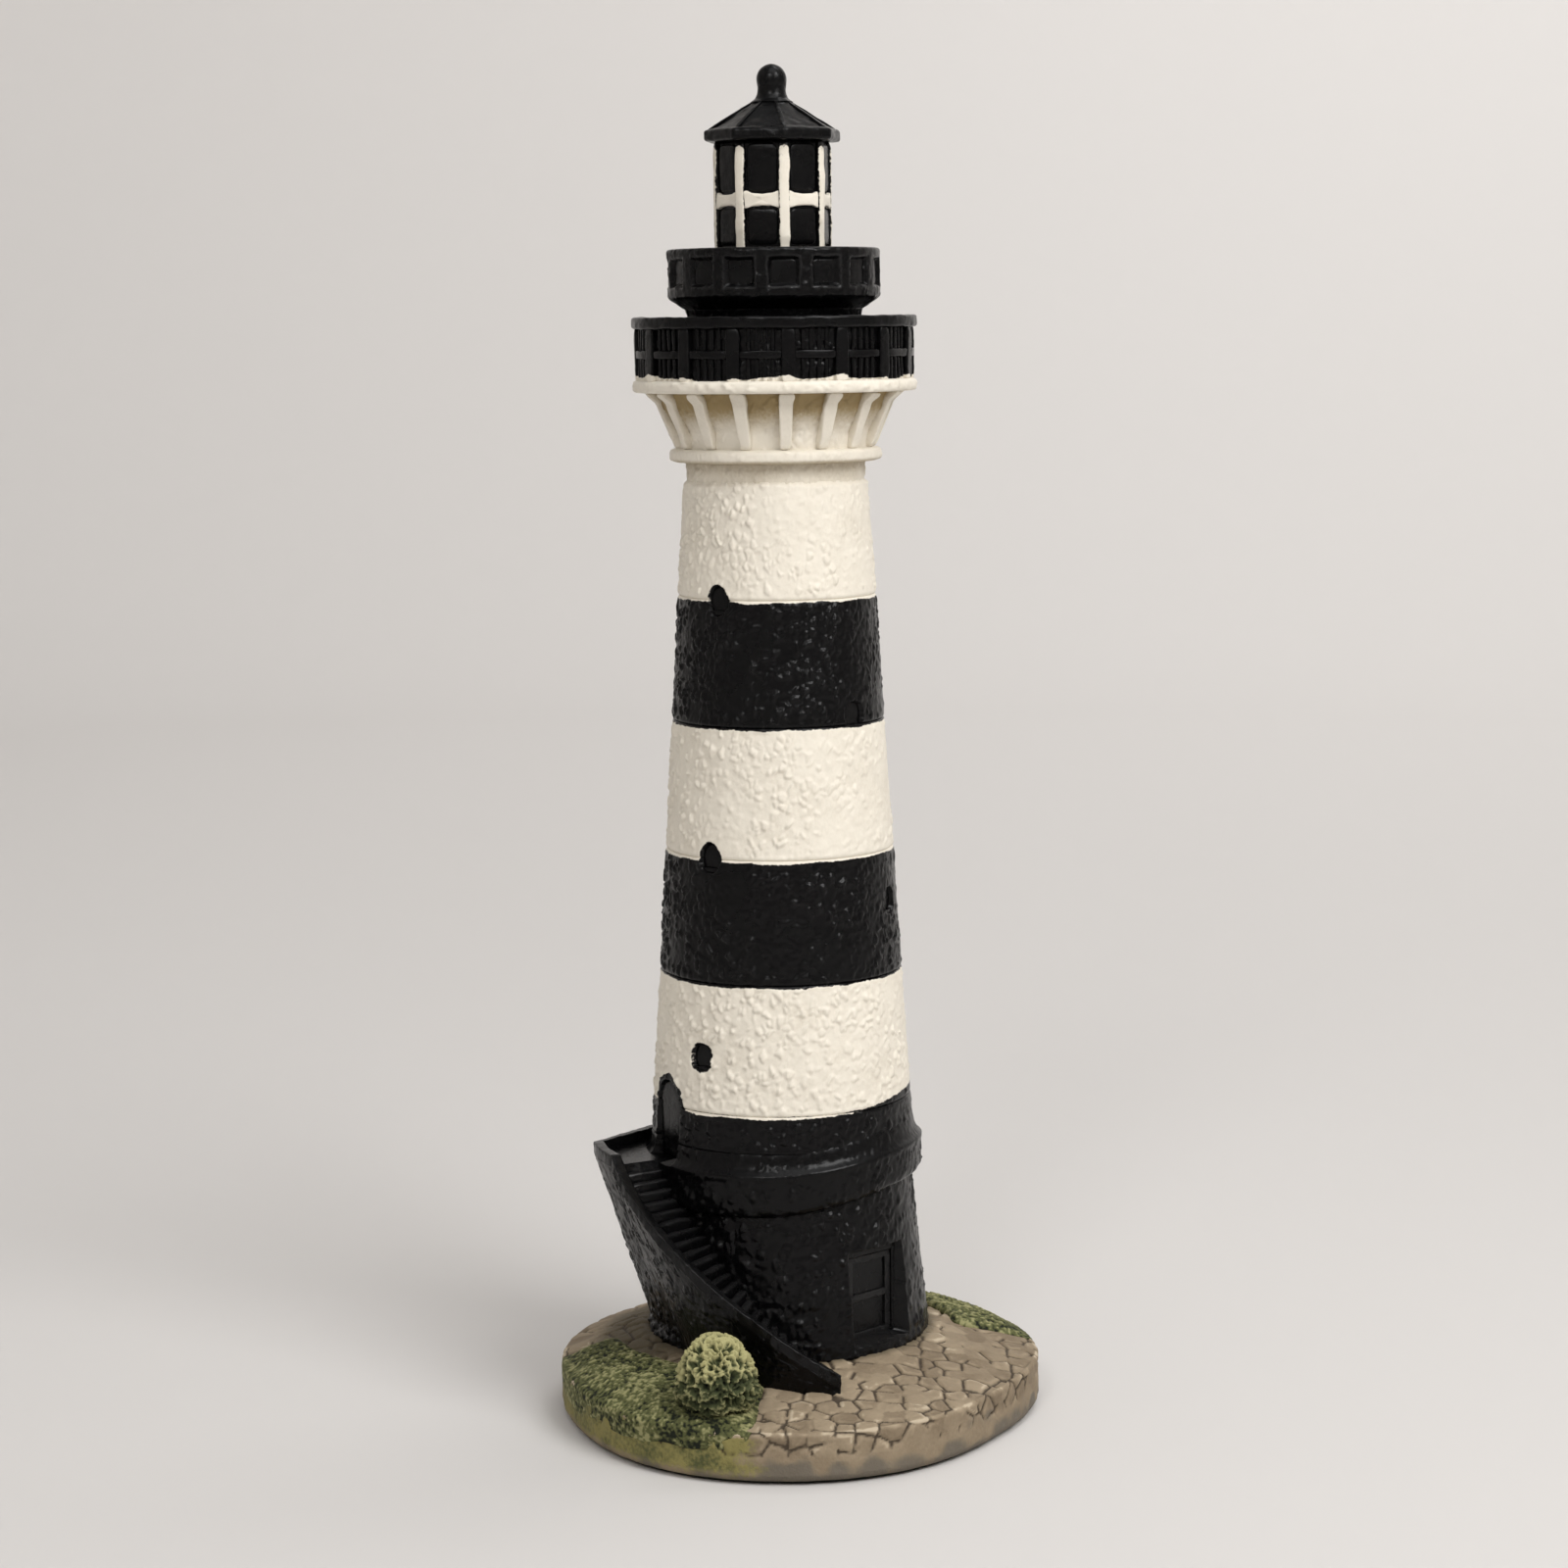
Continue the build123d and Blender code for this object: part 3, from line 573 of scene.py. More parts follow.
@dataclass(frozen=True)
class TowerPaint:
    """Brushed black or white paint on pebbled plaster, told apart by the mark "coat" (mm into the white)."""

    slot: Slot
    black: Colour = (0.0018, 0.0018, 0.0020)
    # Lighter black on raised grains and edges: partly worn paint, partly painted highlight.
    wear_and_sheen_black: Colour = (0.0170, 0.0166, 0.0168)
    white: Colour = (0.805, 0.752, 0.650)
    grey_white: Colour = (0.700, 0.645, 0.545)
    # Tan: in the plaster's pits, and as painted shade on the neck, under the ring and the cornice and behind
    # the brackets.
    dirt_and_shade: Colour = (0.330, 0.245, 0.120)
    fine_width: float = 0.5
    patch_width: float = 7.0
    brush_width: float = 1.3
    brush_depth: float = 0.08
    edge_blur: float = 0.07
    gloss: float = 0.21
    specular: float = 0.18

    def material(self) -> bpy.types.Material:
        """Mixes black and white by the coat, with tan over the white, partly painted shade, and a lighter
        black on raised grains and edges, partly worn paint and partly painted highlight.
        """
        board = Board(self.slot.value)
        fine = board.noise(self.fine_width, 4.0)
        patch = board.noise(self.patch_width, 3.0)
        wash_and_shade = board.mark("wash_and_shade")
        coat = board.mark("coat").stirred(fine, 0.5).step(-self.edge_blur, self.edge_blur)
        white = board.mix((patch * 0.9 + fine * 0.6 - 0.45).step(0.15, 0.85), self.white, self.grey_white)
        # Tan over the white where the mark runs high: painted shade on the neck, under the ring and the
        # cornice and behind the brackets.
        dirt_and_shade_share = (wash_and_shade.stirred(patch, 0.25) * (fine * 0.5 + 0.75)).step(0.12, 1.0)
        white = board.mix(dirt_and_shade_share, white, self.dirt_and_shade)
        # Lighter black where the relief is high: partly worn paint, partly a painted highlight on grains and
        # edges.
        wear_and_sheen = board.mark("relief").stirred(fine, 0.4).stirred(patch, 0.6).step(0.3, 1.1)
        black = board.mix(wear_and_sheen, self.black, self.wear_and_sheen_black)
        colour = board.mix(coat, black, white)
        roughness = self.gloss + patch * 0.12 + coat * 0.22
        brush = board.noise(self.brush_width, 2.0)
        return board.finish(colour, roughness, brush, self.brush_depth, self.specular)


@dataclass(frozen=True)
class PavingPaint:
    """Dry tan stone with dark joints, darker brown as painted shade where its shade mark is, and greener
    where its moss mark is.
    """

    slot: Slot = Slot.PAVING
    light: Colour = (0.335, 0.265, 0.178)
    dark: Colour = (0.180, 0.134, 0.085)
    # Pale on the stones' edges, and as a painted highlight along the rim.
    pale: Colour = (0.500, 0.415, 0.300)
    # Painted shade: dark brown on the slope at the left and round the tower's foot.
    slope: Colour = (0.115, 0.092, 0.056)
    joint: Colour = (0.060, 0.044, 0.029)
    moss: Colour = (0.245, 0.215, 0.074)
    dark_moss: Colour = (0.075, 0.082, 0.030)
    grey: Colour = (0.150, 0.128, 0.098)
    fine_width: float = 0.7
    patch_width: float = 6.0
    pit_depth: float = 0.16
    dullness: float = 0.62
    specular: float = 0.3

    def material(self) -> bpy.types.Material:
        """Mixes stone colours by stone and by patch, with pale edges and a painted rim highlight, then lays
        moss, painted shade and joints over them.
        """
        board = Board(self.slot.value)
        fine = board.noise(self.fine_width, 4.0)
        patch = board.noise(self.patch_width, 3.0)
        stone = (board.mark("stone") * 0.5 + patch * 0.7 + fine * 0.35 - 0.25).step(0.05, 0.95)
        colour = board.mix(stone, self.dark, self.light)
        colour = board.mix(board.mark("stone").stirred(fine, 0.5).step(0.95, 1.6), colour, self.pale)
        colour = board.mix(board.mark("low").stirred(fine, 0.6).step(0.2, 0.9), colour, self.grey)
        colour = board.mix(board.mark("shade").stirred(fine, 0.5).step(0.1, 0.95), colour, self.slope)
        moss = board.mix((patch * 0.9 + fine * 0.7 - 0.3).step(0.25, 0.65), self.dark_moss, self.moss)
        colour = board.mix(board.mark("moss").stirred(fine, 0.9).step(0.25, 0.85), colour, moss)
        colour = board.mix(board.mark("crack").stirred(fine, 0.7).step(0.25, 0.95), colour, self.joint)
        return board.finish(colour, self.dullness + fine * 0.2, fine, self.pit_depth, self.specular)


@dataclass(frozen=True)
class GrowthPaint:
    """Spongy green growth: dark pits and pale dry-brushed tips, by the mark "relief" from 0 to 1."""

    slot: Slot
    pit: Colour = (0.007, 0.010, 0.004)
    leaf: Colour = (0.098, 0.104, 0.038)
    tip: Colour = (0.310, 0.298, 0.140)
    fine_width: float = 0.45
    patch_width: float = 4.0
    pit_depth: float = 0.22
    dullness: float = 0.66
    specular: float = 0.25

    def material(self) -> bpy.types.Material:
        """Mixes from pit to leaf to tip as the relief rises."""
        board = Board(self.slot.value)
        fine = board.noise(self.fine_width, 4.0)
        patch = board.noise(self.patch_width, 2.0)
        level = board.mark("relief").stirred(fine, 0.55).stirred(patch, 0.3)
        colour = board.mix(level.step(0.05, 0.5), self.pit, self.leaf)
        colour = board.mix(level.step(0.52, 1.0), colour, self.tip)
        return board.finish(colour, self.dullness + fine * 0.2, fine, self.pit_depth, self.specular)


@dataclass(frozen=True)
class FeltCloth:
    """Dark pressed felt under the plinth."""

    slot: Slot = Slot.FELT
    dark: Colour = (0.010, 0.012, 0.009)
    light: Colour = (0.040, 0.044, 0.034)
    fibre_width: float = 0.3
    patch_width: float = 5.0
    nap: float = 0.15
    dullness: float = 0.86
    specular: float = 0.1

    def material(self) -> bpy.types.Material:
        """Mixes dark and light fibres by a fine noise."""
        board = Board(self.slot.value)
        fibre = board.noise(self.fibre_width, 5.0, 0.7)
        patch = board.noise(self.patch_width)
        colour = board.mix((fibre * 0.8 + patch * 0.4 - 0.1).step(0.2, 0.8), self.dark, self.light)
        return board.finish(colour, self.dullness + fibre * 0.1, fibre, self.nap, self.specular)


FULL_COAT = 2.0


def painted(points: Array, coat: Varied, wash_and_shade: Varied = 0.0, relief: Varied = 0.0) -> Skin:
    """Skin for tower paint, with all three of its marks.

    Args:
        points: places, (count, rows, columns, 3).
        coat: mm into the white paint, negative in the black.
        wash_and_shade: share of tan, from 0 to 1, partly painted shade.
        relief: how far a grain stands up, from about 0 to 1; the black is lighter there, partly worn paint
            and partly painted highlight.

    Returns:
        The skin.
    """
    shape = points.shape[:3]
    marks = {"coat": coat, "wash_and_shade": wash_and_shade, "relief": relief}
    return Skin(points, {name: np.broadcast_to(values, shape) for name, values in marks.items()})


@dataclass
class Workshop:
    """Makes pieces: gives each skin the finish of its slot and its body, and hides the solids that it stands
    for.
    """

    finishes: dict[Slot, bpy.types.Material] = field(default_factory=dict)

    def prepare(self) -> None:
        """Mixes every finish once."""
        growths = (
            GrowthPaint(Slot.TURF),
            GrowthPaint(Slot.FOLIAGE, leaf=(0.052, 0.062, 0.024), tip=(0.41, 0.385, 0.185)),
        )
        paints = (TowerPaint(Slot.BLACK), TowerPaint(Slot.WHITE), PavingPaint(), FeltCloth(), *growths)
        self.finishes = {paint.slot: paint.material() for paint in paints}

    def make(self, name: str, skin: Skin, slot: Slot, *nodes: str) -> None:
        """Adds one piece to the scene.

        Args:
            name: the piece's name.
            skin: its surface.
            slot: the slot that its finish comes from.
            nodes: the solids that it stands for.
        """
        piece = bpy.data.objects.new(name, skin.mesh(name))
        bpy.context.scene.collection.objects.link(piece)
        piece.data.materials.append(self.finishes[slot])
        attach(piece, "root")
        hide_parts(*nodes)
        LOG.info("%s: %d faces, %s", name, len(piece.data.polygons), slot.value)

    def black(self, name: str, points: Array, node: str, relief: Varied = 0.0) -> None:
        """Adds a piece in full black, lighter where the relief is high, partly as worn paint and partly as a
        painted highlight, for one solid.
        """
        self.make(name, painted(points, -FULL_COAT, 0, relief), Slot.BLACK, node)

    def white(self, name: str, points: Array, node: str, wash_and_shade: Varied) -> None:
        """Adds a piece in full white, with its share of tan, partly painted shade, for one solid."""
        self.make(name, painted(points, FULL_COAT, wash_and_shade), Slot.WHITE, node)


# Reading the frame

def low(node: str) -> float:
    """Lowest level of a solid in mm."""
    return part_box(node)[0].z / MM


def high(node: str) -> float:
    """Highest level of a solid in mm."""
    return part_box(node)[1].z / MM


def reach(node: str) -> float:
    """Radius of a turned solid in mm."""
    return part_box(node)[1].x / MM


def middle_level(node: str) -> float:
    """Level halfway up a solid in mm."""
    return (low(node) + high(node)) / 2


def facing(node: str) -> tuple[float, float]:
    """Angle that a plate on the wall faces, and the distance of its middle from the axis in mm."""
    corner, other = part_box(node)
    middle = (corner + other) / 2 / MM
    return math.degrees(math.atan2(middle.y, middle.x)) % 360, math.hypot(middle.x, middle.y)


# Textures

def shaken(points: Array, amount: Varied, size: float, seed: int) -> Array:
    """Points moved by a smooth noise in all three directions, as a hand-cut form is uneven."""
    return points + amount * np.stack([grain(points, size, seed + 7 * k, 2) for k in range(3)], axis=-1)


@dataclass(frozen=True)
class Hand:
    """Unevenness of a hand-cut form.

    Attributes:
        amount: how far its points move, in mm.
        size: width of its swells in mm.
        seed: picks another pattern.
    """

    amount: float
    size: float
    seed: int

    def on(self, points: Array) -> Array:
        """The points, moved."""
        return shaken(points, self.amount, self.size, self.seed)


@dataclass(frozen=True)
class Plaster:
    """Cast plaster: crumbs of all heights, mostly at the front left, and small grains, on slow swells."""

    seed: int = 40
    crumbled_side: float = 238.0
    crumbled_patch: float = 9.0
    crumb_size: float = 1.15
    crumb_slope: float = 0.3
    crumb_height: float = 0.40
    crumb_flatness: float = 0.7
    grain_spacing: float = 1.6
    grain_radius: float = 0.42
    grain_height: float = 0.25
    fine_swell: float = 0.06
    slow_swell: float = 0.10

    def height(self, points: Array, strength: float = 1.0) -> Array:
        """Height of the plaster.

        Args:
            points: places in mm, (..., 3).
            strength: a factor on the height.

        Returns:
            Height in mm at each place, (...).
        """
        side = np.cos(np.arctan2(points[..., 1], points[..., 0]) - math.radians(self.crumbled_side))
        patches = soft_noise(points, self.crumbled_patch, self.seed + 6)
        crumbled = np.clip(0.5 + 0.4 * side + 0.9 * patches, 0.1, 1)
        broken = shaken(points, 0.55, 1.5, self.seed + 1) * (1, 1, self.crumb_flatness)
        _, gap, label = pebbles(broken, self.crumb_size, self.seed + 4)
        crumbs = ramp(label, 0.2, 0.85) * ramp(gap, 0.0, self.crumb_slope)
        near, _, label = pebbles(points, self.grain_spacing, self.seed)
        grains = hump(near, self.grain_radius) * ramp(label, 0.4, 0.6)
        relief = self.crumb_height * crumbled * (crumbs - 0.3)
        relief = relief + self.grain_height * (1 - 0.8 * crumbled) * grains
        swell = self.fine_swell * soft_noise(points, 0.8, self.seed + 5)
        return strength * (relief + (swell + self.slow_swell * soft_noise(points, 5.0, self.seed + 7)))


PLASTER = Plaster()


def crests(rough: Array) -> Array:
    """Lighter black on the plaster's crests, from its height in mm: partly worn paint, partly painted
    highlight.
    """
    return 0.5 * np.clip(rough / 0.2, 0, 1)


def rubbed(points: Array) -> Array:
    """Smoother casting in mm: slow swells with a fine grain."""
    return 0.07 * soft_noise(points, 2.6, 61) + 0.05 * grain(points, 0.9, 62)


def ragged(angle: Array, size: float, seed: int, radius: float = 20.0) -> Array:
    """Uneven edge of a brushed line, from -1 to 1, as a function of the angle round the tower."""
    turn = np.radians(angle)
    ring = radius * np.stack([np.cos(turn), np.sin(turn), 0 * turn], axis=-1)
    return grain(ring, size, seed, 3)


def sponge(points: Array, size: float, seed: int) -> Array:
    """Spongy growth from 0 in the pits to 1 on the ridges, which wind along the noise's zero lines."""
    fold = np.abs(grain(points, size, seed, 2))
    return np.clip(1 - ramp(fold, 0.05, 0.40) + 0.2 * soft_noise(points, 0.4 * size, seed + 9), 0, 1)


# Sub-assemblies

@dataclass(frozen=True)
class Patch:
    """Place of a lawn: its start and stop angles, the radius of its inner edge, and its growth's seed."""

    start: float
    stop: float
    inner: float
    seed: int

    def middle(self) -> float:
        """Angle halfway along it."""
        return (self.start + self.stop) / 2

    def half(self) -> float:
        """Half of the turn that it takes up."""
        return (self.stop - self.start) / 2


@dataclass
class Ground:
    """Felt pad, paved plinth that rises to the tower, two lawns and a bush."""

    shop: Workshop
    centre: tuple[float, float] = (2.0, -8.5)
    radius: float = 42.0
    outline: tuple[float, ...] = (0.99, 1.04, 1.07, 1.08, 1.08, 1.03, 0.965, 0.955, 1.005, 1.01, 0.975, 0.93)
    casting_shrink: float = 0.25
    rounding: float = 0.8
    rise_height: float = 4.0
    tower_radius: float = 25.0
    columns: int = 620
    hidden_share: float = 0.45
    hidden_rows: int = 8
    paved_rows: int = 74
    edge_rows: int = 6
    side_rows: int = 20
    foot_inset: float = 0.5
    foot_height: float = 0.9
    stone_size: float = 3.8
    stone_stray: float = 0.72
    stone_tilt: float = 0.34
    stone_grain: float = 0.20
    stone_hand: Hand = Hand(0.18, 4.0, 12)
    joint_width: float = 0.30
    joint_depth: float = 0.45
    joint_end: tuple[float, float] = (3.4, 4.6)
    shaded_side: float = 185.0
    grey_side: float = 330.0
    bank_edge: float = 5.0
    felt_inset: float = 1.6
    felt_columns: int = 360
    lawn_thickness: float = 1.5
    lawn_pile: float = 0.4
    lawn_rows: int = 100
    lawn_columns: float = 9.5
    lawn_squareness: int = 8
    drape: float = 3.2
    front_lawn: Patch = Patch(189.0, 264.0, 29.0, 31)
    rear_lawn: Patch = Patch(2.0, 48.0, 28.8, 36)
    bush_size: tuple[float, float, float] = (11.6, 15.0, 14.2)
    bush_taper: float = 0.24
    bush_hand: Hand = Hand(0.9, 1.5, 74)
    twig_hand: Hand = Hand(0.5, 1.0, 77)

    def rim(self, angle: Array) -> Array:
        """Outline's radius about its own centre: the sum of waves that passes through its twelve shares."""
        waves = np.fft.rfft(self.outline) / len(self.outline)
        number = np.arange(len(waves))
        weight = np.where((number == 0) | (number == len(self.outline) // 2), 1, 2)
        turns = np.exp(1j * np.radians(angle)[..., None] * number)
        return self.radius * (weight * waves * turns).real.sum(axis=-1) - self.casting_shrink

    def rim_from_tower(self, angle: Array) -> Array:
        """Outline's distance from the tower's axis at an angle about that axis."""
        turn = ring_angles(720)
        place = polar(self.rim(turn), turn, 0)[..., :2] + self.centre
        return np.interp(angle % 360, bearing(place) % 360, np.hypot(place[:, 0], place[:, 1]), period=360)

    def level(self, x: Array, y: Array) -> Array:
        """Height of the bare ground: it climbs from the rim to the tower by the share of the way between."""
        across, up = x - self.centre[0], y - self.centre[1]
        inside = self.rim(np.degrees(np.arctan2(up, across))) - self.rounding - np.hypot(across, up)
        outside = np.hypot(x, y) - self.tower_radius
        inside, outside = np.clip(inside, 0, None), np.clip(outside, 0, None)
        return low("paved_mound") + self.rise_height * (inside / np.maximum(inside + outside, LEAST_LENGTH))

    def paving(self) -> None:
        """Plinth and mound as one skin: rings from the middle out, over the rim and down the side."""
        bottom, top = low("base_plinth"), low("paved_mound")
        angle = ring_angles(self.columns)
        rim = self.rim(angle)
        hidden = np.linspace(0.12, self.hidden_share, self.hidden_rows, endpoint=False)
        share = np.concatenate([hidden, np.linspace(self.hidden_share, 1.0, self.paved_rows)])
        flat = polar(share[:, None] * (rim - self.rounding), angle, 0.0)[..., :2] + self.centre
        upper = np.concatenate([flat, self.level(flat[..., 0], flat[..., 1])[..., None]], axis=-1)
        turn = np.radians(np.linspace(15, 90, self.edge_rows))[:, None]
        inset, fall = self.rounding * (1 - np.sin(turn)), self.rounding * (1 - np.cos(turn))
        edge = polar(rim - inset, angle, top - fall)
        fall = np.linspace(top - self.rounding, bottom, self.side_rows)[1:, None]
        side = polar(rim - self.foot_inset * ramp(fall, bottom + self.foot_height, bottom), angle, fall)
        under = polar(0.6 * rim, angle, np.full((1, 1), bottom))
        below = np.concatenate([edge, side, under]) + (*self.centre, 0)
        skin = self.stones(np.concatenate([upper, below]), len(upper))
        self.shop.make("paved_ground", skin, Slot.PAVING, "base_plinth", "paved_mound")

    def stones(self, points: Array, top_rows: int) -> Skin:
        """Cuts the joints of crazy paving into the ground and marks its stones, painted shade and moss, with
        pale stone edges and a painted highlight along the rim.

        The joints are the edges of random cells, drawn on the flat and folded down over the rim, and some
        of them are rubbed out. Each stone lies a little higher or lower than the next.

        Args:
            points: the smooth ground, (rows, columns, 3).
            top_rows: how many rows lie on the top.

        Returns:
            The skin with its marks.
        """
        top = low("paved_mound")
        drop = top - np.minimum(points[..., 2], top)
        outward = points - (*self.centre, 0)
        outward[..., 2] = 0
        outward = outward / np.linalg.norm(outward, axis=-1, keepdims=True)
        flat = points + drop[..., None] * outward
        flat[..., 2] = self.stone_size / 2
        _, gap, label = pebbles(self.stone_hand.on(flat), self.stone_size, 11, self.stone_stray)
        kept = soft_noise(flat, 2.6, 14) + 0.35 * soft_noise(flat, 11.0, 16)
        kept = ramp(kept + 0.28, 0.0, 0.2) * (1 - ramp(drop, *self.joint_end))
        joint = hump(gap, self.joint_width) * kept
        on_top = 1 - ramp(drop, 3.0, 4.6)
        height = self.stone_tilt * (label - 0.5) * (1 - hump(gap, 1.0)) * on_top
        height = height + self.stone_grain * grain(points, 2.0, 15) - self.joint_depth * joint
        height = np.clip(height, -1, 0.2)
        height[-1] = 0
        # Pale along the stones' edges, and a painted highlight along the rim where the top turns down the
        # side.
        brushed = hump(gap - 0.65, 0.3) * kept + 1.3 * hump(drop - 0.15, 0.3) * ramp(drop, 0.0, 0.05)
        label = 0.5 + (label - 0.5) * on_top + 0.8 * brushed * ramp(soft_noise(flat, 1.5, 19), -0.4, 0.6)
        way = np.zeros_like(points)
        way[..., 2] = 1.0
        way[top_rows:] = outward[top_rows:]
        moved = (points + way * height[..., None])[::-1]
        moss, grey = self.bank(points, flat, drop)
        marks = {"crack": joint, "stone": label, "shade": self.shade(points), "moss": moss, "low": grey}
        return Skin(moved[None], {name: values[::-1][None] for name, values in marks.items()})

    def shade(self, points: Array) -> Array:
        """Painted shade, in dark brown, from 0 to 1: on the slope at the left and in a narrow ring round the
        tower's foot.
        """
        away = np.hypot(points[..., 0], points[..., 1]) - self.tower_radius
        turn = np.abs(turn_from(bearing(points) % 360, self.shaded_side))
        slope = (1 - ramp(turn, 25, 55)) * (1 - ramp(away, 2.0, 13.0))
        return np.maximum(slope, 0.75 * (1 - ramp(away, 0.0, 2.4)))

    def bank(self, points: Array, flat: Array, drop: Array) -> tuple[Array, Array]:
        """Stains on the plinth's side.

        Args:
            points: the smooth ground, (rows, columns, 3).
            flat: the same places, folded up to the level of the top.
            drop: how far each place lies below the top.

        Returns:
            Moss under the front lawn, and grey that grows towards the bottom of the side and is strongest at
            the front right, both from 0 to 1.
        """
        angle = bearing(points) % 360
        half = self.front_lawn.half()
        turn = np.abs(turn_from(angle, self.front_lawn.middle())) + self.bank_edge * soft_noise(flat, 3.0, 17)
        moss = 1 - ramp(turn, half - self.bank_edge, half + self.bank_edge)
        moss = moss * ramp(drop, 0.2, 1.5) * (1 - 0.7 * ramp(drop, 5.5, 8.0))
        grey = ramp(drop, 3.0, 7.8) * (0.45 + 0.5 * toward(angle, self.grey_side))
        return moss, grey + 0.8 * ramp(drop, 0.4, 2.0) * soft_noise(points, 2.8, 18)

    def lawn(self, name: str, patch: Patch) -> None:
        """Patch of turf: a round-cornered sheet from a radius to the rim, over it and some way down the side.

        Args:
            name: the solid that it stands for.
            patch: its place.
        """
        seed = patch.seed
        turn = np.radians(ring_angles(int((patch.stop - patch.start) * self.lawn_columns)))
        share = np.concatenate([np.linspace(0.03, 1.0, self.lawn_rows), np.linspace(0.99, 0.3, 5)])[:, None]
        under = np.arange(len(share))[:, None] >= self.lawn_rows
        wave = np.stack([np.cos(turn), np.sin(turn)])
        square = np.sum(wave ** self.lawn_squareness, axis=0) ** (1 / self.lawn_squareness)
        x, y = (share * w for w in wave / square)
        angle = patch.middle() - x * patch.half()
        inner_edge = patch.inner + 1.2 * ragged(angle, 9.0, seed)
        level_run = self.rim_from_tower(angle) - self.rounding - inner_edge
        bend = self.rounding * math.pi / 2
        run = (y + 1) / 2 * (level_run + bend + self.drape * (1 + 0.8 * ragged(angle, 5.0, seed + 1)))
        tip = np.clip((run - level_run) / self.rounding, 0, math.pi / 2)
        drop = self.rounding * (1 - np.cos(tip)) + np.clip(run - level_run - bend, 0, None)
        flat = polar(inner_edge + np.minimum(run, level_run) + self.rounding * np.sin(tip), angle, 0.0)
        bare = flat + (self.level(flat[..., 0], flat[..., 1]) - drop)[..., None] * (0, 0, 1)
        pile = np.clip(0.5 + 0.8 * grain(bare, 0.7, seed) + 0.45 * soft_noise(bare, 0.4, seed + 3), 0, 1)
        crown = 1 - np.clip(share, 0, 1) ** 14
        flush = ramp(run, level_run - 4.0, level_run + 1.0)
        mat = 0.05 + (self.lawn_thickness - self.lawn_pile) * (1 - flush)
        depth = np.where(under, -0.5, crown * (mat + (self.lawn_pile - 0.25 * flush) * pile))
        points = bare + polar(depth * np.sin(tip), angle, depth * np.cos(tip))
        patchy = pile + 0.25 * soft_noise(bare, 6.0, seed + 5)
        self.shop.make(f"{name}_turf", Skin(points[None], {"relief": patchy[None]}), Slot.TURF, name)

    def bush(self) -> None:
        """Clipped bush: an ellipsoid pushed out along its ridges and in at its pits."""
        deep, wide, tall = self.bush_size
        corner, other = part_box("bush")
        middle = (corner + other) / 2 / MM
        unit = unit_block(150, 300, 0.85)
        taper = 1 - self.bush_taper * ramp(unit[..., 2], -0.5, 1.0)
        form = unit * (deep / 2, wide / 2, tall / 2) * np.stack([taper, taper, np.ones_like(taper)], axis=-1)
        _, gap, _ = pebbles(self.bush_hand.on(form), 2.1, 71)
        _, small_gap, _ = pebbles(self.twig_hand.on(form), 1.2, 78)
        upper = ramp(unit[..., 2] + 0.5 * soft_noise(form, 4.0, 75), -0.15, 0.5)
        net = 1 - ramp(gap, 0.1, 0.5 + 0.15 * upper)
        growth = 0.55 * net + 0.30 * (1 - ramp(small_gap, 0.05, 0.35)) + 0.25 * sponge(form, 1.5, 72)
        form = form * np.minimum(0.74 + 0.24 * growth + 0.12 * soft_noise(form, 4.2, 76), 1.0)[..., None]
        growth = growth * (0.72 + 0.38 * upper) + 0.14 * upper
        spin = np.stack([*axes_at(facing("bush")[0]), (0, 0, 1)])
        points = form @ spin + (middle.x, middle.y, other.z / MM - tall / 2)
        self.shop.make("bush_growth", Skin(points[None], {"relief": growth[None]}), Slot.FOLIAGE, "bush")

    def felt(self) -> None:
        """Felt pad: the plinth's outline, drawn in, as a thin soft-edged disc."""
        angle = ring_angles(self.felt_columns)
        bottom, top = low("felt_pad"), high("felt_pad")
        inset = np.array([8.0, 0.3, 0.0, 0.0, 0.3, 8.0])[:, None]
        level = np.array([bottom, bottom, bottom + 0.25, top - 0.2, top, top])[:, None]
        rim = self.rim(angle) - self.felt_inset - inset + 0.12 * ragged(angle, 2.0, 81)
        points = polar(rim, angle, level) + (*self.centre, 0)
        self.shop.make("felt_sheet", Skin(points[None]), Slot.FELT, "felt_pad")

    def build(self) -> None:
        """Builds every piece of the ground."""
        self.felt()
        self.paving()
        self.lawn("front_lawn", self.front_lawn)
        self.lawn("rear_lawn", self.rear_lawn)
        self.bush()


@dataclass
class Opening:
    """Niche in a wall: a flat back at a distance from the axis, inside a square or round-headed outline."""

    angle: float
    sill: float
    width: float
    height: float
    back: float
    halo: float = 0.0
    arched: bool = True
    uneven: float = 0.0
    round_foot: bool = False
    far_off: float = 99.0
    least_cosine: float = 0.2

    def gap(self, radius: Array, angle: Array, level: Array) -> Array:
        """Signed distance from the outline, measured across the wall, and far away behind the tower.

        Args:
            radius: radius of each point of the wall.
            angle: angle of each point.
            level: height of each point.

        Returns:
            Distance in mm, negative inside the outline.
        """
        turn = np.radians(turn_from(angle, self.angle))
        outline = arch_gap if self.arched else box_gap
        across, up = radius * np.sin(turn), level - self.sill
        gap = outline(across, up, self.width, self.height)
        if self.round_foot:
            half = self.width / 2
            gap = np.where(up < half, np.hypot(across, up - half) - half, gap)
        gap = gap + self.uneven * soft_noise(polar(radius, angle, level), 1.7, 97)
        return np.where(np.cos(turn) > 0, gap, self.far_off)

    def cut(self, radius: Array, angle: Array, level: Array) -> Array:
        """Radius of the wall after the niche is cut: its flat back where the outline is crossed."""
        turn = np.radians(turn_from(angle, self.angle))
        back = self.back / np.maximum(np.cos(turn), self.least_cosine)
        return np.where(self.gap(radius, angle, level) < 0, np.minimum(radius, back), radius)


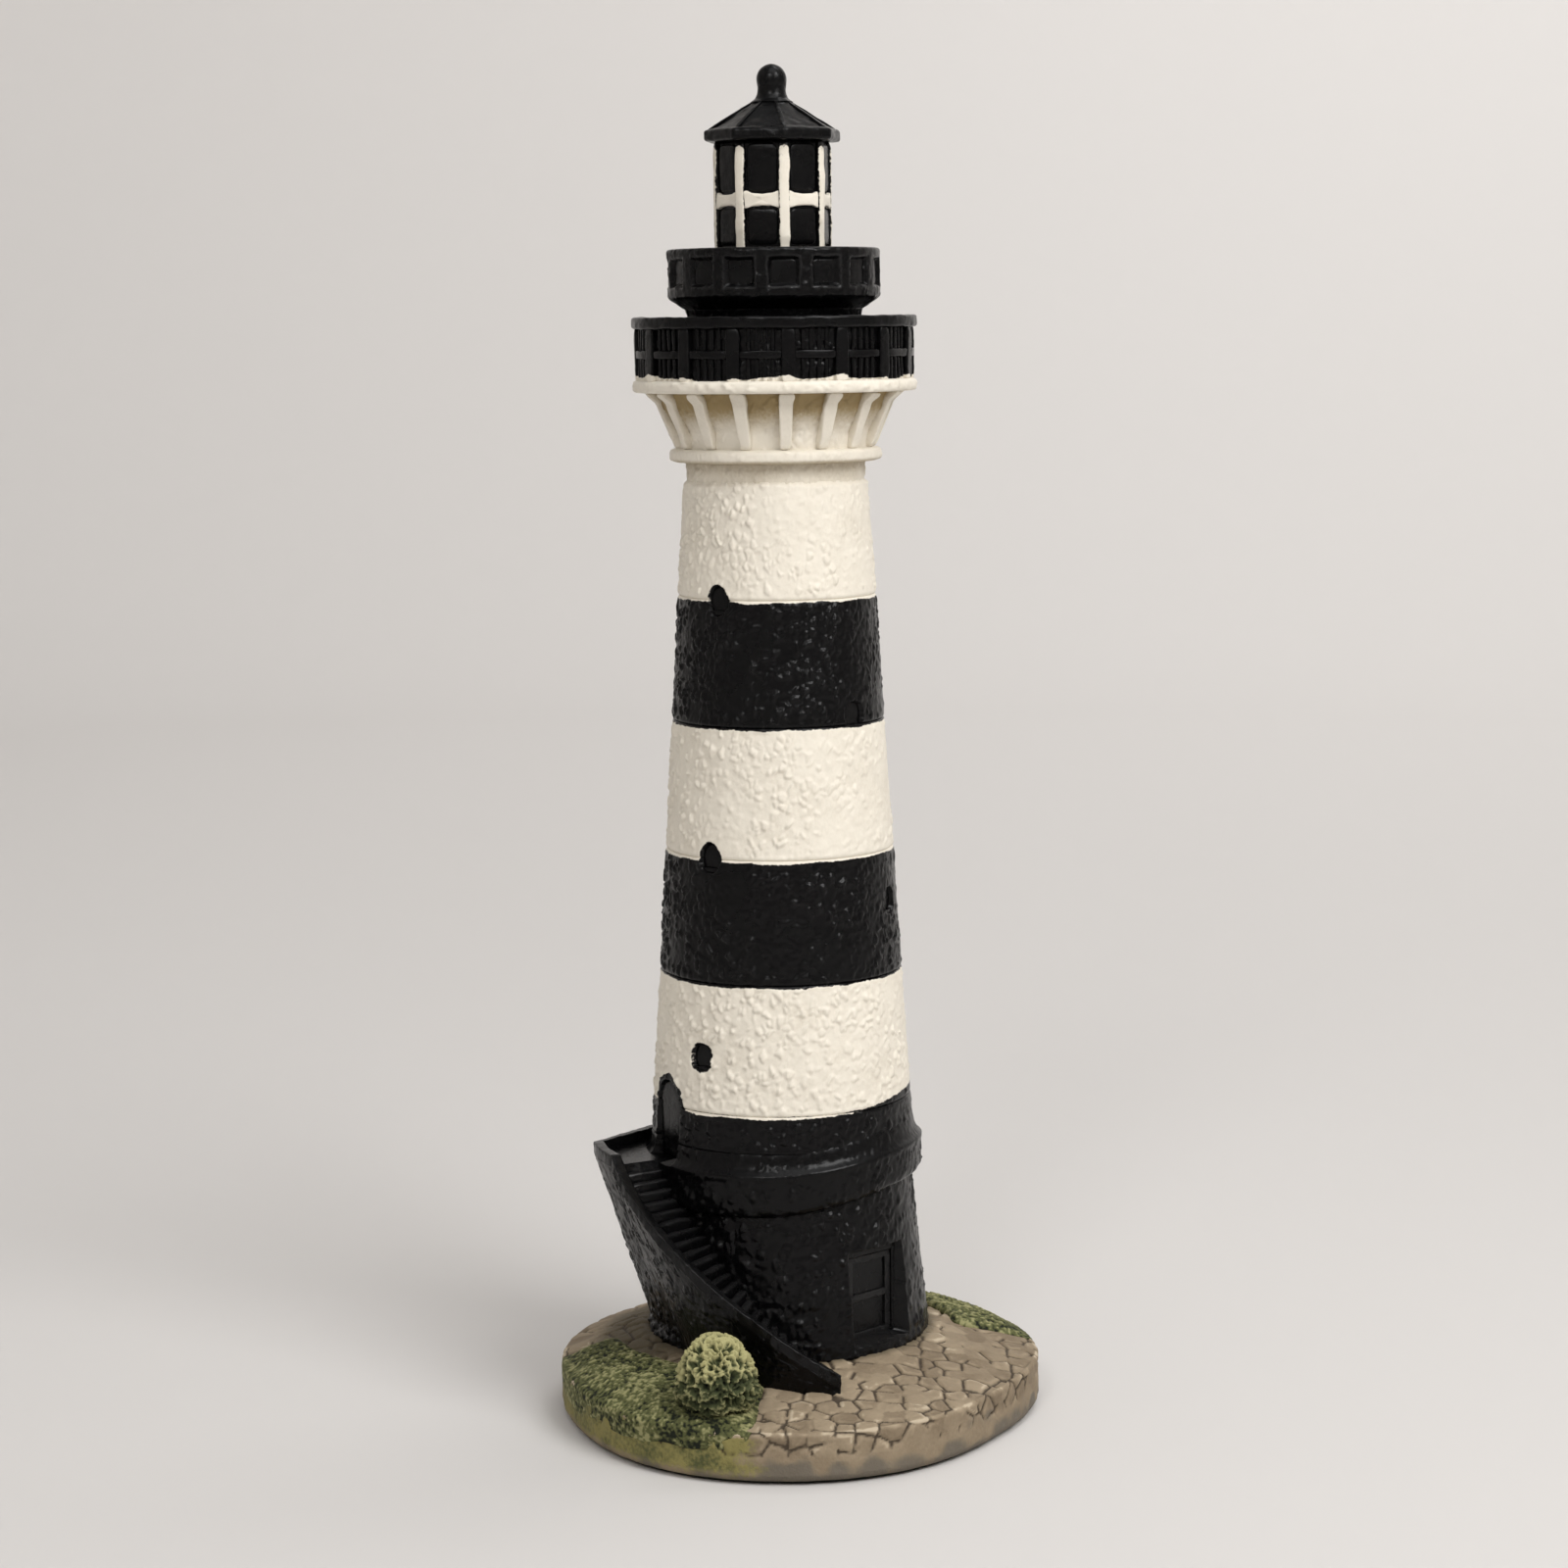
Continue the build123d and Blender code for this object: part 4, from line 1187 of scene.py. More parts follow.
@dataclass
class Shaft:
    """Tapering shaft of six drums, black and white in turn, with its niches, windows and upper door."""

    shop: Workshop
    drums: int = 6
    bottom_radius: float = 22.45
    top_radius: float = 15.5
    chamfer: float = 0.35
    columns: int = 530
    row_step: float = 0.25
    window_width: float = 4.1
    window_height: float = 4.8
    window_depth: float = 1.5
    window_halo: float = 0.2
    window_rag: float = 0.25
    pane_thickness: float = 0.5
    pane_hand: Hand = Hand(0.05, 1.0, 17)
    sill_height: float = 0.8
    sill_inset: float = 0.35
    sill_hand: Hand = Hand(0.1, 1.2, 18)
    door_width: float = 8.4
    door_height: float = 13.4
    door_thickness: float = 0.6
    door_halo: float = 1.1
    door_hand: Hand = Hand(0.08, 1.5, 19)
    least_overlap: float = 1.6
    brush_slant: float = 2.2
    brush_side: float = 10.0
    # Painted shade at the top of the top drum, below the neck and its ring.
    shade_below_neck: float = 0.12
    neck_hollow: float = 0.6
    windows: tuple[str, ...] = ("front_high", "front_mid", "front_low", "side_high", "side_low")

    def radius(self, level: Array) -> Array:
        """Radius of the shaft, which tapers evenly."""
        start, stop = low("shaft_drum_1"), low("shaft_neck")
        return self.bottom_radius + (level - start) / (stop - start) * (self.top_radius - self.bottom_radius)

    def window_niche(self, label: str) -> Opening:
        """Niche of a window, round at its head and foot."""
        node = f"window_{label}"
        sill = low(node)
        back = self.radius(sill) - self.window_depth
        return Opening(
            facing(node)[0], sill, self.window_width, self.window_height, back, self.window_halo,
            uneven=self.window_rag, round_foot=True,
        )

    def door_niche(self) -> Opening:
        """Niche of the upper door."""
        angle, middle = facing("upper_door")
        back = middle - self.door_thickness / 2
        return Opening(angle, low("upper_door"), self.door_width, self.door_height, back, self.door_halo)

    def drum(self, number: int) -> None:
        """One drum: a plastered cone with a scored lower edge, its niches and its paint's brushed edges.

        Args:
            number: its place in the shaft, from 1 at the foot.
        """
        node = f"shaft_drum_{number}"
        last, white = number == self.drums, number % 2 == 0
        bottom, top = low(node), low("shaft_neck" if last else f"shaft_drum_{number + 1}")
        scored = 0.0 if number == 1 else self.chamfer
        closing = 0.0 if last else 0.6 * self.chamfer
        wall = [
            (self.radius(bottom) - scored, bottom),
            (self.radius(bottom + self.chamfer), bottom + self.chamfer),
            (self.radius(top - self.chamfer), top - self.chamfer),
            (self.radius(top) - closing, top),
        ]
        radius, angle, level = lathe(wall, self.row_step, self.columns, 1)
        rough = PLASTER.height(polar(radius, angle, level))
        edge = level - bottom if last else np.minimum(level - bottom, top - level)
        radius = radius + rough * (0.35 + 0.65 * ramp(edge, 0.2, 1.2))
        brushed = ragged(angle, 3.0, 90 + number)
        slant = self.brush_slant * np.clip(toward(angle, self.brush_side), 0, 1) ** 2
        lip = top - level - (0.35 + 0.30 * brushed) + (slant if number == 1 else 0)
        coat = np.full(radius.shape, FULL_COAT) if last else (lip if white else -lip)
        if number == 2:
            coat = np.minimum(coat, level - bottom - slant - 0.25 * brushed)
        for opening in (*(self.window_niche(label) for label in self.windows), self.door_niche()):
            if opening.sill + self.least_overlap > top:
                continue
            gap = opening.gap(radius, angle, level)
            halo = opening.halo * (1 + 0.7 * grain(polar(radius, angle, level), 2.0, 95))
            coat = np.minimum(coat, gap - halo)
            radius = opening.cut(radius, angle, level)
        # Tan in the plaster's pits.
        wash_and_shade = 0.06 + 0.25 * np.clip(-rough - 0.05, 0, 0.2) / 0.2
        if last:
            radius = radius - self.neck_hollow * ramp(level + 0.3 * brushed, top - 0.7, top - 0.1)
            # Painted shade: tan that deepens up towards the neck and its ring.
            wash_and_shade = wash_and_shade + self.shade_below_neck * ramp(level, top - 5.0, top)
        skin = painted(polar(radius, angle, level)[None], coat, wash_and_shade, crests(rough))
        self.shop.make(f"drum_{number}", skin, Slot.WHITE if white else Slot.BLACK, node)

    def window(self, label: str) -> None:
        """Arched window: a black pane set back in its niche, and a sill below it.

        Args:
            label: the end of its solid's name.
        """
        node = f"window_{label}"
        niche = self.window_niche(label)
        angle, sill, back = niche.angle, niche.sill, niche.back
        outline = arch_line(self.window_width - 0.2, self.window_height - 0.1)
        pane = plate(outline, back, back + self.pane_thickness, angle, sill, 0.05)
        face = self.radius(sill) - self.sill_inset
        unit = unit_block(12, 24, 0.35)
        bar = wall_blocks(unit, angle, self.window_width - 0.1, sill, sill + self.sill_height, back, face)
        self.shop.black(f"{node}_pane", self.pane_hand.on(pane), node)
        self.shop.black(f"{node}_sill", self.sill_hand.on(bar), node, 0.4)

    def door(self) -> None:
        """Upper door: a smooth arched leaf at the back of its niche."""
        niche = self.door_niche()
        outline = arch_line(self.door_width - 0.2, self.door_height - 0.1, 90)
        leaf = plate(outline, niche.back, niche.back + self.door_thickness, niche.angle, niche.sill, 0.1)
        self.shop.black("upper_door_leaf", self.door_hand.on(leaf), "upper_door")

    def build(self) -> None:
        """Builds the drums, the windows and the upper door."""
        for number in range(1, self.drums + 1):
            self.drum(number)
        for label in self.windows:
            self.window(label)
        self.door()


@dataclass
class LowerStorey:
    """Black foot of the tower with the alcove of its door, and the belt course above it."""

    shop: Workshop
    shaft: Shaft
    bottom_radius: float = 25.0
    top_radius: float = 22.3
    tuck: float = 4.0
    belt_slope: float = 3.2
    belt_sag: float = 1.3
    belt_sag_angle: float = 225.0
    belt_lift: float = 2.3
    belt_lift_angle: float = 345.0
    flat_side: float = 1.6
    flat_angle: float = 187.0
    columns: int = 530
    row_step: float = 0.3
    lump_size: float = 2.3
    lump_height: float = 0.22
    lump_hand: Hand = Hand(0.5, 1.6, 46)
    alcove_width: float = 12.6
    alcove_height: float = 15.6
    frame_width: float = 1.2
    frame_depth: float = 1.1
    frame_hand: Hand = Hand(0.12, 1.6, 21)
    leaf_thickness: float = 0.8
    leaf_gap: float = 0.1
    border: float = 1.2
    stile_hand: Hand = Hand(0.1, 1.6, 22)
    panel_recess: float = 0.4
    panel_hand: Hand = Hand(0.08, 1.6, 23)
    bedding: float = 0.2

    def alcove(self) -> Opening:
        """Square niche of the lower door."""
        angle, middle = facing("door_frame")
        back = middle - self.frame_depth / 2
        return Opening(angle, low("door_frame"), self.alcove_width, self.alcove_height, back, arched=False)

    def foot(self) -> None:
        """Foot: a plastered cone, flatter on its left side, with the alcove cut to its flat back."""
        bottom, top = low("tower_foot"), low("belt_course")
        slope = (self.top_radius - self.bottom_radius) / (top - bottom)
        wall = [
            (self.bottom_radius, bottom - 0.3), (self.bottom_radius, bottom),
            (self.top_radius + self.tuck * slope, top + self.tuck),
        ]
        radius, angle, level = lathe(wall, self.row_step, self.columns, 1)
        places = polar(radius, angle, level)
        lumps = pebbles(self.lump_hand.on(places), self.lump_size, 47)[0]
        coarse = np.clip(0.6 + soft_noise(places, 11.0, 48), 0, 1.3) * self.lump_height * (1.2 - lumps)
        rough = PLASTER.height(places, 1.1) + coarse
        radius = radius - self.flat_side * np.clip(toward(angle, self.flat_angle), 0, 1) ** 3
        alcove = self.alcove()
        near = ramp(alcove.gap(radius, angle, level), 0.0, 1.2)
        radius = alcove.cut(radius + rough * (0.4 + 0.6 * near), angle, level)
        self.shop.black("foot_wall", polar(radius, angle, level)[None], "tower_foot", crests(rough))

    def belt(self) -> None:
        """Belt course: a plastered band with a slope at either edge and the foot of the upper door's niche.

        It hangs a little lower at the front left and climbs at the right.
        """
        bottom, top = low("belt_course"), low("shaft_drum_1")
        wide, shaft = reach("belt_course"), self.shaft.bottom_radius
        ledge = top - self.belt_slope
        wall = [
            (self.top_radius - 0.4, bottom), (wide - 0.5, bottom + 0.9),
            (wide - 0.15, bottom + self.belt_slope - 1.2), (wide - 0.2, ledge - 0.9), (wide, ledge - 0.6),
            (wide, ledge), (wide - 0.7, ledge + 0.35), (shaft + 0.5, ledge + 1.2), (shaft + 0.1, top - 0.2),
            (shaft - 0.4, top + 0.6),
        ]
        radius, angle, level = lathe(wall, self.row_step, self.columns, 2)
        rough = PLASTER.height(polar(radius, angle, level), 1.0)
        rough = rough * (1 - 0.5 * ramp(level, ledge - 1.5, ledge)) * (1 - 0.7 * hump(level - ledge, 0.7))
        radius = self.shaft.door_niche().cut(radius + rough - 0.12, angle, level)
        sag = self.belt_sag * ramp(toward(angle, self.belt_sag_angle), -0.2, 1.0)
        lift = self.belt_lift * np.clip(toward(angle, self.belt_lift_angle), 0, 1) ** 2
        level = level + lift - sag * (1 - ramp(level, bottom + 1.0, top - 1.0))
        self.shop.black("belt_band", polar(radius, angle, level)[None], "belt_course", crests(rough))

    def bars(self, spans: Sequence[tuple[float, float, float, float]], back: float, face: float) -> Array:
        """Flat-faced bars in the alcove: rounded blocks set across its back.

        Args:
            spans: left, right, low and high of each bar, from the alcove's middle and sill.
            back: distance of their backs from the axis.
            face: distance of their faces from the axis.

        Returns:
            Places, (count, rows, columns, 3).
        """
        alcove = self.alcove()
        unit = unit_block(26, 40, 0.22)[None]
        left, right, bottom, top = (v[:, None, None] for v in np.array(spans, dtype=float).T)
        outward, across = axes_at(alcove.angle)
        x = (left + right) / 2 + unit[..., 0] * (right - left) / 2
        depth = (back + face) / 2 + unit[..., 1] * (face - back) / 2
        level = alcove.sill + (bottom + top) / 2 + unit[..., 2] * (top - bottom) / 2
        return x[..., None] * across + depth[..., None] * outward + level[..., None] * (0, 0, 1)

    def doorway(self) -> None:
        """Frame of two jambs and a head, and a leaf of two sunk panels between stiles and rails."""
        half, tall = self.alcove_width / 2, self.alcove_height
        width, edge, wall = self.frame_width, self.border, self.alcove().back
        back = wall - self.bedding
        jambs = [(-half, width - half, 0, tall), (half - width, half, 0, tall)]
        frame_bars = self.bars([*jambs, (-half, half, tall - width, tall)], back, wall + self.frame_depth)
        # The frame and the stiles are a lighter black: partly worn paint, partly painted highlight.
        self.shop.black("door_surround", self.frame_hand.on(frame_bars), "door_frame", 0.6)
        leaf, head = half - width - self.leaf_gap, tall - width - self.leaf_gap
        middle = head / 2
        stiles = [
            (-leaf, edge - leaf, 0, head), (leaf - edge, leaf, 0, head), (-leaf, leaf, 0, edge),
            (-leaf, leaf, middle - edge / 2, middle + edge / 2), (-leaf, leaf, head - edge, head),
        ]
        panels = [(-leaf, leaf, 0, middle), (-leaf, leaf, middle, head)]
        face = wall + self.leaf_thickness
        self.shop.black("door_stiles", self.stile_hand.on(self.bars(stiles, back, face)), "lower_door", 0.75)
        sunk = self.bars(panels, back, face - self.panel_recess)
        self.shop.black("door_panels", self.panel_hand.on(sunk), "lower_door")

    def build(self) -> None:
        """Builds the foot, its doorway and the belt course."""
        self.foot()
        self.doorway()
        self.belt()


@dataclass
class Stair:
    """Landing and stair that winds down round the foot, on a battered mass, with a low parapet."""

    shop: Workshop
    landing_start: float = 161.0
    landing_corner: float = 188.0
    top_angle: float = 208.0
    foot_angle: float = 284.0
    top_radius: float = 33.0
    start_radius: float = 24.3
    spread: float = 4.4
    foot_level: float = 11.7
    bedding: float = 0.4
    steps: int = 23
    tread_depth: float = 3.2
    tread_hand: Hand = Hand(0.3, 2.0, 41)
    wall_thickness: float = 1.8
    wall_height: float = 1.8
    wall_tuck: float = 0.4
    wall_hand: Hand = Hand(0.12, 2.2, 24)
    crumble: float = 0.5
    crumbled_share: float = 0.88
    batter: float = 0.42
    batter_loss: float = 0.7
    easing: float = 0.15
    inner_radius: float = 21.0
    face_rows: int = 110
    tread_rows: int = 5

    def share(self, angle: Array) -> Array:
        """Share of the way down the flight: 0 on the landing, 1 at the foot."""
        return np.clip((angle - self.top_angle) / (self.foot_angle - self.top_angle), 0, 1)

    def nose(self, angle: Array) -> Array:
        """Level of the line over the nosings."""
        top = high("landing_slab")
        return top + self.share(angle) * (self.foot_level - top)

    def edge(self, angle: Array) -> Array:
        """Outer radius, which draws in behind the landing's corner and spreads towards the foot."""
        behind = np.clip((self.landing_corner - angle) / (self.landing_corner - self.landing_start), 0, 1)
        drawn_in = behind * (self.top_radius - self.start_radius)
        return self.top_radius - drawn_in + self.share(angle) * self.spread

    def sections(self, angle: Array, tread: Array) -> Array:
        """Sections of the mass: up its leaning outer face, in under the parapet, down to the tread and back.

        Args:
            angle: angle of each section.
            tread: level of the tread in each section.

        Returns:
            Places, (rows, columns, 3).
        """
        ground, top = low("paved_mound") - self.bedding, high("landing_slab")
        nose, edge = self.nose(angle), self.edge(angle)
        share = self.share(angle)
        eased = share * share * (1 + self.easing) / (share + self.easing)
        lean = self.batter * (1 - self.batter_loss * eased)
        fall = top + eased * (self.foot_level - top) - ground
        foot = np.maximum(self.inner_radius + 0.2, edge - lean * fall)
        rise = np.linspace(0, 1, self.face_rows)
        inner = np.full_like(edge, self.inner_radius)
        curb = edge - self.wall_thickness
        face_r = foot[:, None] + rise * (edge - foot)[:, None]
        face_z = ground + rise * (nose - ground)[:, None]
        tread_r = curb[:, None] + np.linspace(0, 1, self.tread_rows) * (inner - curb)[:, None]
        tread_z = np.broadcast_to(tread[:, None], tread_r.shape)
        radius = np.concatenate([inner[:, None], face_r, curb[:, None], tread_r], axis=1)
        level = np.concatenate([np.full_like(edge, ground)[:, None], face_z, nose[:, None], tread_z], axis=1)
        return polar(radius, angle[:, None], level)

    def ruled(self, places: Array, angle: Array) -> Array:
        """Straightens the run between the landing's start and its corner, point by point, as a ruled face."""
        run = np.clip((angle - self.landing_start) / (self.landing_corner - self.landing_start), 0, 1)
        corner = int(np.argmax(run >= 1))
        straight = places[0] + run[:, None, None] * (places[corner] - places[0])
        return np.where((run < 1)[:, None, None], straight, places)

    def worn(self, places: Array) -> Array:
        """Outer faces with slow swells and a fine grain, moved outward from the axis."""
        outward = places * (1, 1, 0)
        outward = outward / np.maximum(np.linalg.norm(outward, axis=-1, keepdims=True), 1)
        return places + outward * (rubbed(places) + PLASTER.height(places, 0.6) - 0.15)[..., None]

    def masses(self) -> None:
        """Landing slab, level on top, and the sloping mass under the treads."""
        angle = np.linspace(self.landing_start, self.top_angle, 110)
        slab = self.worn(self.ruled(self.sections(angle, self.nose(angle)), angle))
        self.shop.black("landing_mass", slab[None], "landing_slab", 0.2)
        angle = np.linspace(self.top_angle, self.foot_angle, 180)
        flight = self.worn(self.sections(angle, self.nose(angle) - self.tread_depth))
        self.shop.black("stair_mass", flight[None], "stair_flight", 0.2)

    def treads(self) -> None:
        """Treads: rounded blocks between the tower and the parapet, each a rise lower than the last."""
        turn = (self.foot_angle - self.top_angle) / self.steps
        top = high("landing_slab")
        rise = (top - self.foot_level) / self.steps
        number = np.arange(self.steps)[:, None, None]
        unit = unit_block(18, 40, 0.4)[None]
        angle = self.top_angle + turn * (number + 0.5 + 0.5 * unit[..., 0])
        outer = self.edge(angle) - self.wall_thickness + 0.2
        radius = self.inner_radius + (1 - unit[..., 1]) / 2 * (outer - self.inner_radius)
        level = top - (number + 1) * rise + (unit[..., 2] - 1) * self.tread_depth / 2
        points = self.tread_hand.on(polar(radius, angle, level))
        # Painted highlight: lighter black along the tops of the treads.
        nosing_highlight = 0.7 * ramp(unit[..., 2] + 0 * number, 0.3, 1.0)
        self.shop.black("stair_treads", points, "stair_flight", nosing_highlight)

    def parapet(self, name: str, angle: Array, node: str) -> None:
        """Parapet: a round-edged section carried along the outer edge, crumbled at the stair's foot.

        Args:
            name: the piece's name.
            angle: angles of its sections.
            node: the solid that it stands for.
        """
        unit = rectangle_line(self.wall_thickness, self.wall_height + self.wall_tuck, 0.12, 40)
        radius = self.edge(angle)[:, None] - self.wall_thickness / 2 + unit[:, 0]
        level = self.nose(angle)[:, None] + self.wall_height / 2 - self.wall_tuck / 2 + unit[:, 1]
        places = self.ruled(polar(radius, angle[:, None], level), angle)
        hand = self.wall_hand
        amount = hand.amount + self.crumble * ramp(self.share(angle), self.crumbled_share, 1.0)[:, None, None]
        places = self.worn(shaken(places, amount, hand.size, hand.seed))
        self.shop.black(name, places[None], node, 0.5)

    def build(self) -> None:
        """Builds the landing, the flight and their parapets."""
        self.masses()
        self.treads()
        self.parapet("landing_wall", np.linspace(self.landing_start, self.top_angle, 90), "landing_parapet")
        self.parapet("stair_wall", np.linspace(self.top_angle, self.foot_angle, 150), "stair_parapet")


@dataclass
class Corbel:
    """White neck, ring and bell with brackets under the cornice slab."""

    shop: Workshop
    columns: int = 440
    row_step: float = 0.25
    # Painted shade on the neck under the ring, in tan.
    neck_tan_and_shade: float = 0.37
    ring_wash: float = 0.15
    bell_wash: float = 0.16
    cornice_wash: float = 0.10
    bracket_wash: float = 0.20
    bell_low: float = 16.1
    bell_high: float = 19.8
    bracket_count: int = 16
    bracket_turn: float = 5.4
    bracket_width: float = 2.3
    bracket_root: float = 0.8
    bracket_hand: Hand = Hand(0.22, 1.8, 25)
    projection: float = 0.95
    flare: float = 1.4

    def ring_of(self, wall: Line, strength: float, softness: int = 3) -> Array:
        """Turned piece with plaster on it.

        Args:
            wall: its line of (radius, height) from below.
            strength: strength of the plaster.
            softness: rounding of its corners.

        Returns:
            Places, (1, rows, columns, 3).
        """
        radius, angle, level = lathe(wall, self.row_step, self.columns, softness)
        rough = PLASTER.height(polar(radius, angle, level), strength)
        return polar(radius + rough - 0.05, angle, level)[None]

    def turned_pieces(self) -> None:
        """Neck, ring, bell and cornice, with a little tan on each, and painted shade in tan on the neck,
        under the ring and up the bell under the cornice.
        """
        neck_z, ring_z, bell_z = low("shaft_neck"), low("corbel_ring"), low("corbel_bell")
        cornice_z, gallery_z = low("cornice_slab"), low("gallery_drum")
        neck, ring, slab = reach("shaft_neck"), reach("corbel_ring"), reach("cornice_slab")
        points = self.ring_of([(neck - 0.3, neck_z - 1.4), (neck - 0.2, neck_z + 0.3), (neck, ring_z)], 0.9)
        # Painted shade on the neck: tan all over it, darker up towards the ring.
        wash_and_shade = self.neck_tan_and_shade + 0.14 * ramp(points[..., 2], neck_z, ring_z)
        self.shop.white("neck_wall", points, "shaft_neck", wash_and_shade)
        roll = [(ring - 1.0, ring_z), (ring, ring_z + 0.3), (ring, bell_z - 0.3), (ring - 1.2, bell_z)]
        points = self.ring_of(roll, 0.6)
        # Painted shade under the ring: tan on its underside.
        under = 1 - ramp(points[..., 2], ring_z, ring_z + 0.9)
        self.shop.white("ring_moulding", points, "corbel_ring", self.ring_wash + 0.5 * under)
        curve = [
            (self.bell_low, bell_z - 0.2), (self.bell_low + 0.5, bell_z + 3),
            (self.bell_high - 1.1, cornice_z - 3), (self.bell_high, cornice_z),
        ]
        points = self.ring_of(curve, 0.8)
        # Painted shade under the cornice: tan that deepens up the bell towards it.
        cornice_shade = ramp(points[..., 2], bell_z + 1.0, cornice_z + 0.5) + 0.08 * soft_noise(points, 2.4, 51)
        self.shop.white("bell_wall", points, "corbel_bell", self.bell_wash + 1.05 * cornice_shade)
        edge = [
            (slab - 1.6, cornice_z), (slab - 0.25, cornice_z), (slab, cornice_z + 0.5),
            (slab, gallery_z - 0.4), (slab - 0.5, gallery_z), (slab - 2.2, gallery_z + 0.02),
        ]
        self.shop.white("cornice_slab_edge", self.ring_of(edge, 0.75, 4), "cornice_slab", self.cornice_wash)

    def brackets(self) -> None:
        """Brackets: blocks that follow the bell's slope, widen upward and flare out under the cornice."""
        bottom, top = low("corbel_brackets"), high("corbel_brackets")
        unit = unit_block(40, 36, 0.3)[None]
        rise = (unit[..., 2] + 1) / 2
        bell = self.bell_low + rise * (self.bell_high - self.bell_low)
        proud = self.projection + self.flare * ramp(rise, 0.78, 1.0)
        radius = bell - self.bracket_root + (unit[..., 1] + 1) / 2 * (self.bracket_root + proud)
        width = self.bracket_width * (0.80 + 0.24 * rise + 0.12 * ramp(rise, 0.8, 1.0))
        turn = spokes(self.bracket_turn, self.bracket_count)[:, None, None]
        angle = turn + np.degrees(unit[..., 0] * width / 2 / bell)
        points = self.bracket_hand.on(polar(radius, angle, bottom + rise * (top - bottom)))
        # Painted shade: tan behind the brackets, deeper towards their tops.
        behind = 1 - ramp(unit[..., 1] + 0 * turn, -0.6, 0.5)
        wash_and_shade = self.bracket_wash + 0.55 * behind * ramp(rise, 0.1, 0.6)
        self.shop.white("bracket_row", points, "corbel_brackets", wash_and_shade)

    def build(self) -> None:
        """Builds the turned pieces and the brackets."""
        self.turned_pieces()
        self.brackets()


@dataclass
class MainGallery:
    """Black gallery wall with posts, rails and balusters in relief, and a cap rail round its deck."""

    shop: Workshop
    columns: int = 460
    post_count: int = 16
    post_turn: float = 5.6
    post_width: float = 2.3
    post_relief: float = 0.85
    rail_relief: float = 0.75
    baluster_count: int = 4
    baluster_width: float = 0.75
    baluster_relief: float = 0.36
    relief_hand: Hand = Hand(0.16, 1.6, 26)
    stray_wash: float = 0.1
    cap_width: float = 2.4
    cap_hand: Hand = Hand(0.16, 2.2, 27)

    def paint_edge(self, points: Array) -> Array:
        """Stray white paint above the cornice, in mm below its ragged edge, which climbs at the posts."""
        angle = bearing(points)
        beside = np.abs(turn_from(angle - FRONT, self.post_turn, 360 / self.post_count))
        climb = 0.25 + 0.55 * hump(beside, 3.0) + 0.75 * ragged(angle, 5.0, 53)
        return low("gallery_drum") + climb - points[..., 2]

    def dress(self, name: str, points: Array, node: str, worn: float) -> None:
        """Adds a piece that is painted black down to the stray white.

        Args:
            name: the piece's name.
            points: places, (count, rows, columns, 3).
            node: the solid that it stands for.
            worn: how much lighter the black is, from 0 to 1: partly worn paint, partly painted highlight.
        """
        skin = painted(points, self.paint_edge(points), self.stray_wash, worn)
        self.shop.make(name, skin, Slot.BLACK, node)

    def build(self) -> None:
        """Builds the wall, then the posts, rail and balusters on it, then the cap."""
        bottom, deck = low("gallery_drum"), low("gallery_cap_rail")
        wall = reach("gallery_drum")
        radius, angle, level = lathe([(wall, bottom), (wall, deck)], 0.25, self.columns)
        points = polar(radius + 0.8 * PLASTER.height(polar(radius, angle, level)) - 0.05, angle, level)[None]
        self.dress("gallery_wall", points, "gallery_drum", 0.0)
        turn, hand = spokes(self.post_turn, self.post_count), self.relief_hand
        unit, face = unit_block(36, 28, 0.28), wall + self.post_relief
        posts = wall_blocks(unit, turn, self.post_width, bottom - 0.2, deck + 0.1, wall - 0.6, face)
        self.dress("gallery_post_row", hand.on(posts), "gallery_posts", 0.35)
        bay = 360 / self.post_count
        span = math.radians(bay) * wall - self.post_width + 0.5
        node = "gallery_mid_rail"
        unit, face = unit_block(14, 60, 0.3), wall + self.rail_relief
        rail = wall_blocks(unit, turn + bay / 2, span, low(node), high(node), wall - 0.5, face)
        self.dress("gallery_rail", hand.on(rail), node, 0.4)
        clear = bay - math.degrees(self.post_width / wall)
        inset = (np.arange(self.baluster_count) + 1) / (self.baluster_count + 1) - 0.5
        places = (turn[:, None] + bay / 2 + inset * clear).ravel()
        unit, face, width = unit_block(8, 8, 0.4), wall + self.baluster_relief, self.baluster_width
        for row in ("low", "high"):
            node = f"gallery_balusters_{row}"
            bars = wall_blocks(unit, places, width, low(node) - 0.3, high(node) + 0.3, wall - 0.4, face)
            self.dress(f"gallery_bars_{row}", hand.on(bars), node, 0.25)
        self.cap()

    def cap(self) -> None:
        """Cap rail and deck: up the rail's outer face, over it, down inside and in across the deck."""
        node = "gallery_cap_rail"
        deck, top, wide = low(node), high(node), reach(node)
        inner = wide - self.cap_width
        line = [
            (wide - 1.0, deck - 0.05), (wide - 0.2, deck), (wide, deck + 0.3), (wide, top - 0.2),
            (wide - 0.2, top), (inner + 0.4, top), (inner, top - 0.4), (inner, deck + 0.12),
            (wide - 6.0, deck + 0.1),
        ]
        radius, angle, level = lathe(line, 0.2, self.columns, 1, 0.7)
        points = self.cap_hand.on(polar(radius - 0.05, angle, level))
        # Painted highlight: lighter black along the top of the cap rail.
        self.shop.black("gallery_cap", points[None], node, 0.5 * ramp(level, top - 0.6, top))


